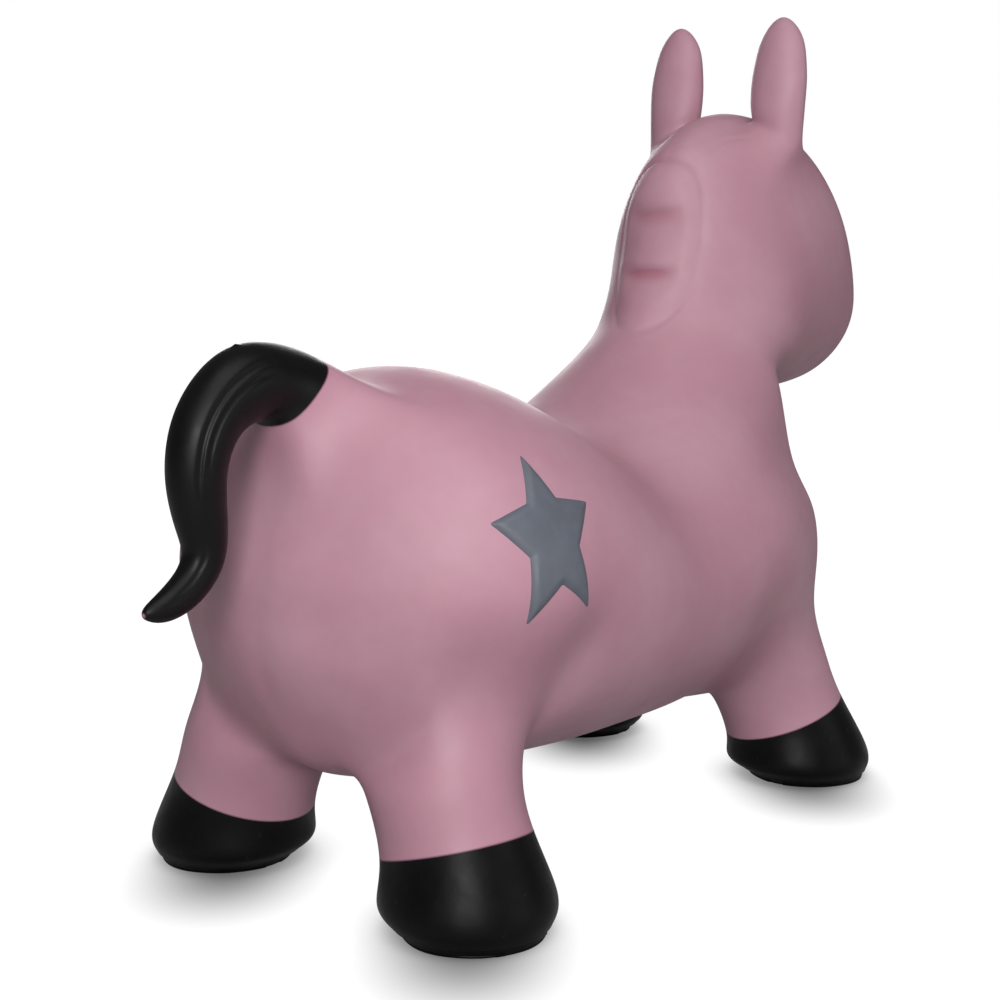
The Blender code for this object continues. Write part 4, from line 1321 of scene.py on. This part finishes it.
def add_plate(name, place, values, material, slant=0):
    """A raised plate laid on the skin at the point that the place shows on its side."""
    whole = skin()
    side = math.copysign(1, place.y)
    centre, normal, _, _ = whole["tree"].ray_cast(place, Vector((0, -side, 0)))
    if centre is None:
        raise RuntimeError(f"no skin beside {name}")
    upward = (Vector((0, 0, 1)) - normal * normal.z).normalized()
    ahead = upward.cross(normal)
    near = np.linalg.norm(whole["places"] - np.array(centre), axis=1) < PLATE_PATCH_REACH
    patch = whole["faces"][near[whole["faces"]].all(axis=1)]
    used, faces = np.unique(patch, return_inverse=True)
    guide = add_piece("guide", whole["places"][used], faces.reshape(-1, 4), material)
    tree = plate_tree()
    modifier = guide.modifiers.new("plate", "NODES")
    modifier.node_group = tree
    values = {
        **values,
        "Sink": PLATE_SINK,
        "Centre": tuple(centre),
        "Ahead": tuple(upward),
        "Upward": tuple(slant * upward - ahead),
        "Material": material,
    }
    for item in tree.interface.items_tree:
        if item.in_out == "INPUT" and item.name in values:
            modifier[item.identifier] = values[item.name]
    guide.update_tag()
    graph = bpy.context.evaluated_depsgraph_get()
    mesh = bpy.data.meshes.new_from_object(guide.evaluated_get(graph))
    if not mesh.polygons:
        raise RuntimeError(f"{name} came out empty")
    bpy.data.objects.remove(guide)
    mesh.name = name
    plate = add_object(name, mesh)
    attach(plate, "skin")
    return plate


def turned_mesh(name, profile, middle, sides):
    """A solid turned about the upright line through the middle, from (radius, height) points."""
    bm = bmesh.new()
    rows = []
    for radius, height in profile:
        if radius:
            turn = [(radius * math.cos(a), radius * math.sin(a)) for a in even_angles(sides)]
            places = [(middle.x + x, middle.y + y, height) for x, y in turn]
        else:
            places = [(middle.x, middle.y, height)]
        rows.append([bm.verts.new(place) for place in places])
    closed = profile[0][0] != 0
    pairs = list(zip(rows, rows[1:] + rows[:1])) if closed else list(zip(rows, rows[1:]))
    for lower, upper in pairs:
        for index in range(sides):
            after = (index + 1) % sides
            if len(lower) == 1:
                bm.faces.new((lower[0], upper[after], upper[index]))
            elif len(upper) == 1:
                bm.faces.new((lower[index], lower[after], upper[0]))
            else:
                bm.faces.new((lower[index], lower[after], upper[after], upper[index]))
    bmesh.ops.recalc_face_normals(bm, faces=bm.faces)
    mesh = bpy.data.meshes.new(name)
    bm.to_mesh(mesh)
    bm.free()
    return mesh


def softened(profile, radius, steps=4):
    """The profile with each corner rounded, apart from those on the axis."""
    result = []
    count = len(profile)
    for index, corner in enumerate(profile):
        here = Vector(corner)
        before = Vector(profile[index - 1])
        after = Vector(profile[(index + 1) % count])
        if corner[0] == 0:
            result.append(corner)
            continue
        reach = min(radius, (before - here).length / 2.1, (after - here).length / 2.1)
        start = here + (before - here).normalized() * reach
        end = here + (after - here).normalized() * reach
        for step in range(steps + 1):
            t = step / steps
            result.append(tuple(start * (1 - t) ** 2 + here * 2 * t * (1 - t) + end * t**2))
    return result


# The pieces, one operator for each group


class HopperOperator:
    """What all the operators share."""

    bl_options = {"REGISTER"}

    def execute(self, context):
        self.make()
        return {"FINISHED"}


def with_valve_hole(places, normals, faces):
    """The torso's faces without those inside the valve's hole, whose rim is drawn to a circle."""
    low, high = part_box("valve_sleeve")
    x = (low.x + high.x) / 2
    plug_low, plug_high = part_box("air_plug")
    radius = (plug_high.x - plug_low.x) / 2 * VALVE_HOLE_SHARE
    away = places[:, :2] - np.array([x, 0])
    distance = np.linalg.norm(away, axis=1)
    below = places[:, 2] < high.z + VALVE_HOLE_REACH
    inside = ((distance < radius) & below)[faces].any(axis=1)
    kept = faces[~inside]
    rim = np.intersect1d(np.unique(faces[inside]), np.unique(kept))
    places = places.copy()
    places[rim, :2] = np.array([x, 0]) + away[rim] / distance[rim, None] * radius
    used, kept = np.unique(kept, return_inverse=True)
    return places[used], normals[used], kept.reshape(-1, 4)


class HOPPER_OT_body(HopperOperator, bpy.types.Operator):
    """Makes the torso, neck and head"""

    bl_idname = "hopper.body"
    bl_label = "Torso, Neck and Head"

    def make(self):
        torso = zone_piece("torso_skin", "torso", rotomoulded_vinyl(), with_valve_hole)
        head = zone_piece("neck_and_head_skin", "neck_and_head", rotomoulded_vinyl())
        for piece in (torso, head):
            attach(piece, "skin")
            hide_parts("body_skin")


class HOPPER_OT_legs(HopperOperator, bpy.types.Operator):
    """Makes the four pink legs"""

    bl_idname = "hopper.legs"
    bl_label = "Legs"

    def make(self):
        shift = skin()["shift"]
        for end, hand in LEGS:
            leg = zone_piece(f"leg_skin_{end}_{hand}", f"leg_{end}_{hand}", rotomoulded_vinyl())
            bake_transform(leg)
            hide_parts(f"leg_{end}_{hand}")


class HOPPER_OT_hooves(HopperOperator, bpy.types.Operator):
    """Makes the four black hooves"""

    bl_idname = "hopper.hooves"
    bl_label = "Hooves"

    def make(self):
        for end, hand in LEGS:
            node = f"hoof_{end}_{hand}"
            hoof = zone_piece(f"hoof_paint_{end}_{hand}", node, hoof_paint())
            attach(hoof, node)
            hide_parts(node)


class HOPPER_OT_ears(HopperOperator, bpy.types.Operator):
    """Makes the two ears"""

    bl_idname = "hopper.ears"
    bl_label = "Ears"

    def make(self):
        for hand, side in zip(HANDS, (1, -1)):
            ear = zone_piece(f"ear_skin_{hand}", f"ear_{hand}", rotomoulded_vinyl())
            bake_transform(ear)
            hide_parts(f"ear_base_{hand}", f"ear_{hand}")


class HOPPER_OT_tail(HopperOperator, bpy.types.Operator):
    """Makes the black tail"""

    bl_idname = "hopper.tail"
    bl_label = "Tail"

    def make(self):
        tail = zone_piece("tail_paint", "tail", tail_paint())
        root = tail_places()[0][0] - Vector((skin()["shift"], 0, 0))
        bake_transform(tail)
        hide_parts("tail_root", "tail")


class HOPPER_OT_stars(HopperOperator, bpy.types.Operator):
    """Lays a raised star on each flank"""

    bl_idname = "hopper.stars"
    bl_label = "Stars"

    def make(self):
        look = settings("hopper_paint")
        shift = skin()["shift"]
        x, z = STAR_PLACE_SHARES[0] * BODY_LENGTH - shift, STAR_PLACE_SHARES[1] * BACK_HEIGHT
        values = {
            "Points": look.star_points,
            "Width": look.star_width,
            "Height": look.star_height,
            "Notch Share": STAR_NOTCH_SHARE,
            "Corner Radius": STAR_CORNER_RADIUS,
            "Relief": look.star_relief,
            "Edge Width": STAR_EDGE_WIDTH,
        }
        for hand, side in zip(HANDS, (1, -1)):
            place = Vector((x, side * BODY_WIDTH, z))
            slant = side * STAR_SLANT_SHARE
            star = add_plate(f"star_paint_{hand}", place, values, star_vinyl_paint(), slant)
            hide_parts(f"star_{hand}")


class HOPPER_OT_eyes(HopperOperator, bpy.types.Operator):
    """Lays a raised round eye on each side of the head"""

    bl_idname = "hopper.eyes"
    bl_label = "Eyes"

    def make(self):
        look = settings("hopper_paint")
        shift = skin()["shift"]
        x = EYE_PLACE_SHARES[0] * BODY_LENGTH - shift
        z = BACK_HEIGHT + EYE_PLACE_SHARES[1] * HEAD_HEIGHT
        values = {
            "Points": EYE_SIDES,
            "Width": look.eye_diameter,
            "Height": look.eye_diameter,
            "Notch Share": 1.0,
            "Corner Radius": 0.0,
            "Relief": look.eye_relief,
            "Edge Width": look.eye_diameter / 2,
        }
        for hand, side in zip(HANDS, (1, -1)):
            place = Vector((x, side * BODY_WIDTH, z))
            eye = add_plate(f"eye_paint_{hand}", place, values, eye_gloss_paint())
            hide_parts(f"eye_{hand}")


class HOPPER_OT_valve(HopperOperator, bpy.types.Operator):
    """Makes the valve's sleeve in the belly and the plug that closes it"""

    bl_idname = "hopper.valve"
    bl_label = "Air Valve"

    def make(self):
        look = settings("hopper_valve")
        low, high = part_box("valve_sleeve")
        plug_low, plug_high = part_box("air_plug")
        middle = Vector(((low.x + high.x) / 2, 0, 0))
        bore = VALVE_BORE_RADIUS
        collar_radius = (high.x - low.x) / 2
        neck_radius = (bore + SLEEVE_RADIUS) / 2
        seat = low.z + COLLAR_HEIGHT
        sleeve = [
            (bore, low.z),
            (SLEEVE_RADIUS, low.z),
            (SLEEVE_RADIUS, seat),
            (collar_radius, seat),
            (collar_radius, seat + COLLAR_THICKNESS),
            (neck_radius, seat + COLLAR_THICKNESS),
            (neck_radius, high.z),
            (bore, high.z),
        ]
        head_radius = (plug_high.x - plug_low.x) / 2
        head_top = low.z - PLUG_CLEARANCE
        stem_radius = bore - PLUG_CLEARANCE
        dish = plug_low.z + PLUG_DISH_DEPTH
        dish_share, rim_share = PLUG_DISH_SHARES
        plug = [
            (0, dish),
            (head_radius * dish_share, dish),
            (head_radius * rim_share, plug_low.z),
            (head_radius, plug_low.z),
            (head_radius, head_top),
            (stem_radius, head_top),
            (stem_radius, plug_high.z - stem_radius),
            (stem_radius * STEM_END_SHARE, plug_high.z),
            (0, plug_high.z),
        ]
        for name, profile, material, slot, node, body in (
            ("valve_flange", sleeve, rotomoulded_vinyl(), "skin", "valve_sleeve", "skin"),
            ("bung", plug, natural_polyethylene(), "plug", "air_plug", "air_plug"),
        ):
            mesh = turned_mesh(name, softened(profile, TURNED_ROUNDING), middle, look.sides)
            mesh.materials.append(material)
            mesh.shade_smooth()
            mesh.set_sharp_from_angle(angle=math.radians(SHARP_DEGREES))
            add_values(mesh, "paint_line", np.ones(len(mesh.vertices)))
            piece = add_object(name, mesh)
            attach(piece, body)
            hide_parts(node)


def floor_material(look):
    """Seamless white paper: white to the camera but for painted contact shade and a painted pool of shade
    under each hoof.
    """
    material = bpy.data.materials.new("studio_paper")
    material.use_nodes = True
    tree = material.node_tree
    tree.nodes.remove(tree.nodes["Principled BSDF"])
    path = add_node(tree, "ShaderNodeLightPath").outputs
    # Painted contact shade: the glow is dimmed where something is near the paper
    open_sky = add_node(tree, "ShaderNodeAmbientOcclusion", {"Distance": CONTACT_REACH}, samples=16)
    contact = [open_sky.outputs["AO"], 0.0, 1.0, CONTACT_LEVEL, 1.0]
    level = add_node(tree, "ShaderNodeMapRange", contact, **SMOOTH)
    places = add_node(tree, "ShaderNodeTexCoord").outputs["Object"]
    yaw = look.camera_yaw
    nearer = Vector((-math.cos(yaw), -math.sin(yaw), 0)) * POOL_SHIFT
    # Painted shade: a soft pool under each hoof, turned and shifted towards the camera
    for end, hand in LEGS:
        low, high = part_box(f"hoof_{end}_{hand}")
        inputs = {
            "Vector": places,
            "Location": (low + high) / 2 * Vector((1, 1, 0)) + nearer,
            "Rotation": (0, 0, yaw),
            "Scale": (*POOL_HALF_SIZES, 1),
        }
        spot = add_node(tree, "ShaderNodeMapping", inputs, vector_type="TEXTURE")
        away = add_node(tree, "ShaderNodeVectorMath", [spot], operation="LENGTH").outputs["Value"]
        pool = add_node(tree, "ShaderNodeMapRange", [away, 0.0, 1.0, POOL_LEVEL, 1.0], **SMOOTH)
        level = add_node(tree, "ShaderNodeMath", [level, pool], operation="MULTIPLY")
    glow = add_node(tree, "ShaderNodeEmission", {"Color": with_alpha(look.floor), "Strength": level})
    lit = add_node(tree, "ShaderNodeBsdfDiffuse", {"Color": with_alpha([PAPER_GREY] * 3)})
    both = add_node(tree, "ShaderNodeAddShader", [lit, glow])
    dim = add_node(tree, "ShaderNodeBsdfDiffuse", {"Color": with_alpha([BOUNCE_GREY] * 3)})
    # Satin paint would pick up far more of the white paper than it does in a studio's light
    rays = [path["Is Glossy Ray"], PAPER_GLOSS_SHARE, path["Is Camera Ray"]]
    seen = add_node(tree, "ShaderNodeMath", rays, operation="MULTIPLY_ADD")
    mix = add_node(tree, "ShaderNodeMixShader", [seen, dim, both])
    tree.links.new(mix.outputs[0], tree.nodes["Material Output"].inputs["Surface"])
    return material


def add_lamp(name, azimuth, elevation, distance, size, power):
    """A soft square lamp that looks at the animal."""
    lamp = bpy.data.lights.new(name, "AREA")
    lamp.shape = "SQUARE"
    lamp.size = size
    lamp.energy = power
    holder = add_object(name, lamp)
    a, e = math.radians(azimuth), math.radians(elevation)
    away = Vector((math.cos(a) * math.cos(e), math.sin(a) * math.cos(e), math.sin(e)))
    holder.location = Vector(LAMP_TARGET) + away * distance
    holder.rotation_euler = (-away).to_track_quat("-Z", "Y").to_euler()


class HOPPER_OT_stage(HopperOperator, bpy.types.Operator):
    """Sets up the camera, the lamps and the floor"""

    bl_idname = "hopper.stage"
    bl_label = "Stage"

    def make(self):
        look = settings("hopper_stage")
        scene = bpy.context.scene
        scene.view_settings.view_transform = "Standard"
        lens = bpy.data.cameras.new("camera")
        lens.sensor_width = 36
        lens.lens = look.focal_mm
        lens.clip_start = 0.01
        lens.clip_end = 100
        camera = add_object("camera", lens)
        camera.location = look.camera_place
        yaw, pitch = look.camera_yaw, look.camera_pitch
        level = math.cos(pitch)
        ahead = Vector((level * math.cos(yaw), level * math.sin(yaw), -math.sin(pitch)))
        camera.rotation_euler = ahead.to_track_quat("-Z", "Y").to_euler()
        scene.camera = camera
        mesh = bpy.data.meshes.new("floor")
        corners = [(x * FLOOR_REACH, y * FLOOR_REACH, 0) for x, y in ((-1, -1), (1, -1), (1, 1), (-1, 1))]
        mesh.from_pydata(corners, [], [(0, 1, 2, 3)])
        mesh.materials.append(floor_material(look))
        floor = add_object("floor", mesh)
        for lamp in LAMPS:
            add_lamp(*lamp)
        world = bpy.data.worlds.new("studio")
        scene.world = world
        world.use_nodes = True
        tree = world.node_tree
        path = add_node(tree, "ShaderNodeLightPath")
        dim = tree.nodes["Background"]
        dim.inputs["Color"].default_value = (1, 1, 1, 1)
        dim.inputs["Strength"].default_value = WORLD_STRENGTH
        white = add_node(tree, "ShaderNodeBackground", {"Color": (1, 1, 1, 1), "Strength": 1.0})
        mix = add_node(tree, "ShaderNodeMixShader", [path.outputs["Is Camera Ray"], dim, white])
        tree.links.new(mix.outputs[0], tree.nodes["World Output"].inputs["Surface"])


OPERATORS = (
    HOPPER_OT_body,
    HOPPER_OT_legs,
    HOPPER_OT_hooves,
    HOPPER_OT_ears,
    HOPPER_OT_tail,
    HOPPER_OT_stars,
    HOPPER_OT_eyes,
    HOPPER_OT_valve,
    HOPPER_OT_stage,
)


class HOPPER_PT_panel(bpy.types.Panel):
    """Lists the pieces in the order they are made"""

    bl_idname = "HOPPER_PT_panel"
    bl_label = "Hopper Horse"
    bl_space_type = "VIEW_3D"
    bl_region_type = "UI"
    bl_category = "Hopper"

    def draw(self, context):
        for operator in OPERATORS:
            self.layout.operator(operator.bl_idname)


GROUPS = {
    "hopper_skin": HopperSkinSettings,
    "hopper_paint": HopperPaintSettings,
    "hopper_valve": HopperValveSettings,
    "hopper_stage": HopperStageSettings,
}


def register():
    for name, group in GROUPS.items():
        bpy.utils.register_class(group)
        setattr(bpy.types.Scene, name, PointerProperty(type=group))
    for kind in (*OPERATORS, HOPPER_PT_panel):
        bpy.utils.register_class(kind)


def unregister():
    for kind in reversed((*OPERATORS, HOPPER_PT_panel)):
        bpy.utils.unregister_class(kind)
    for name, group in GROUPS.items():
        delattr(bpy.types.Scene, name)
        bpy.utils.unregister_class(group)


def main():
    register()
    for operator in OPERATORS:
        group, name = operator.bl_idname.split(".")
        getattr(getattr(bpy.ops, group), name)()


if __name__ == "__main__":
    main()
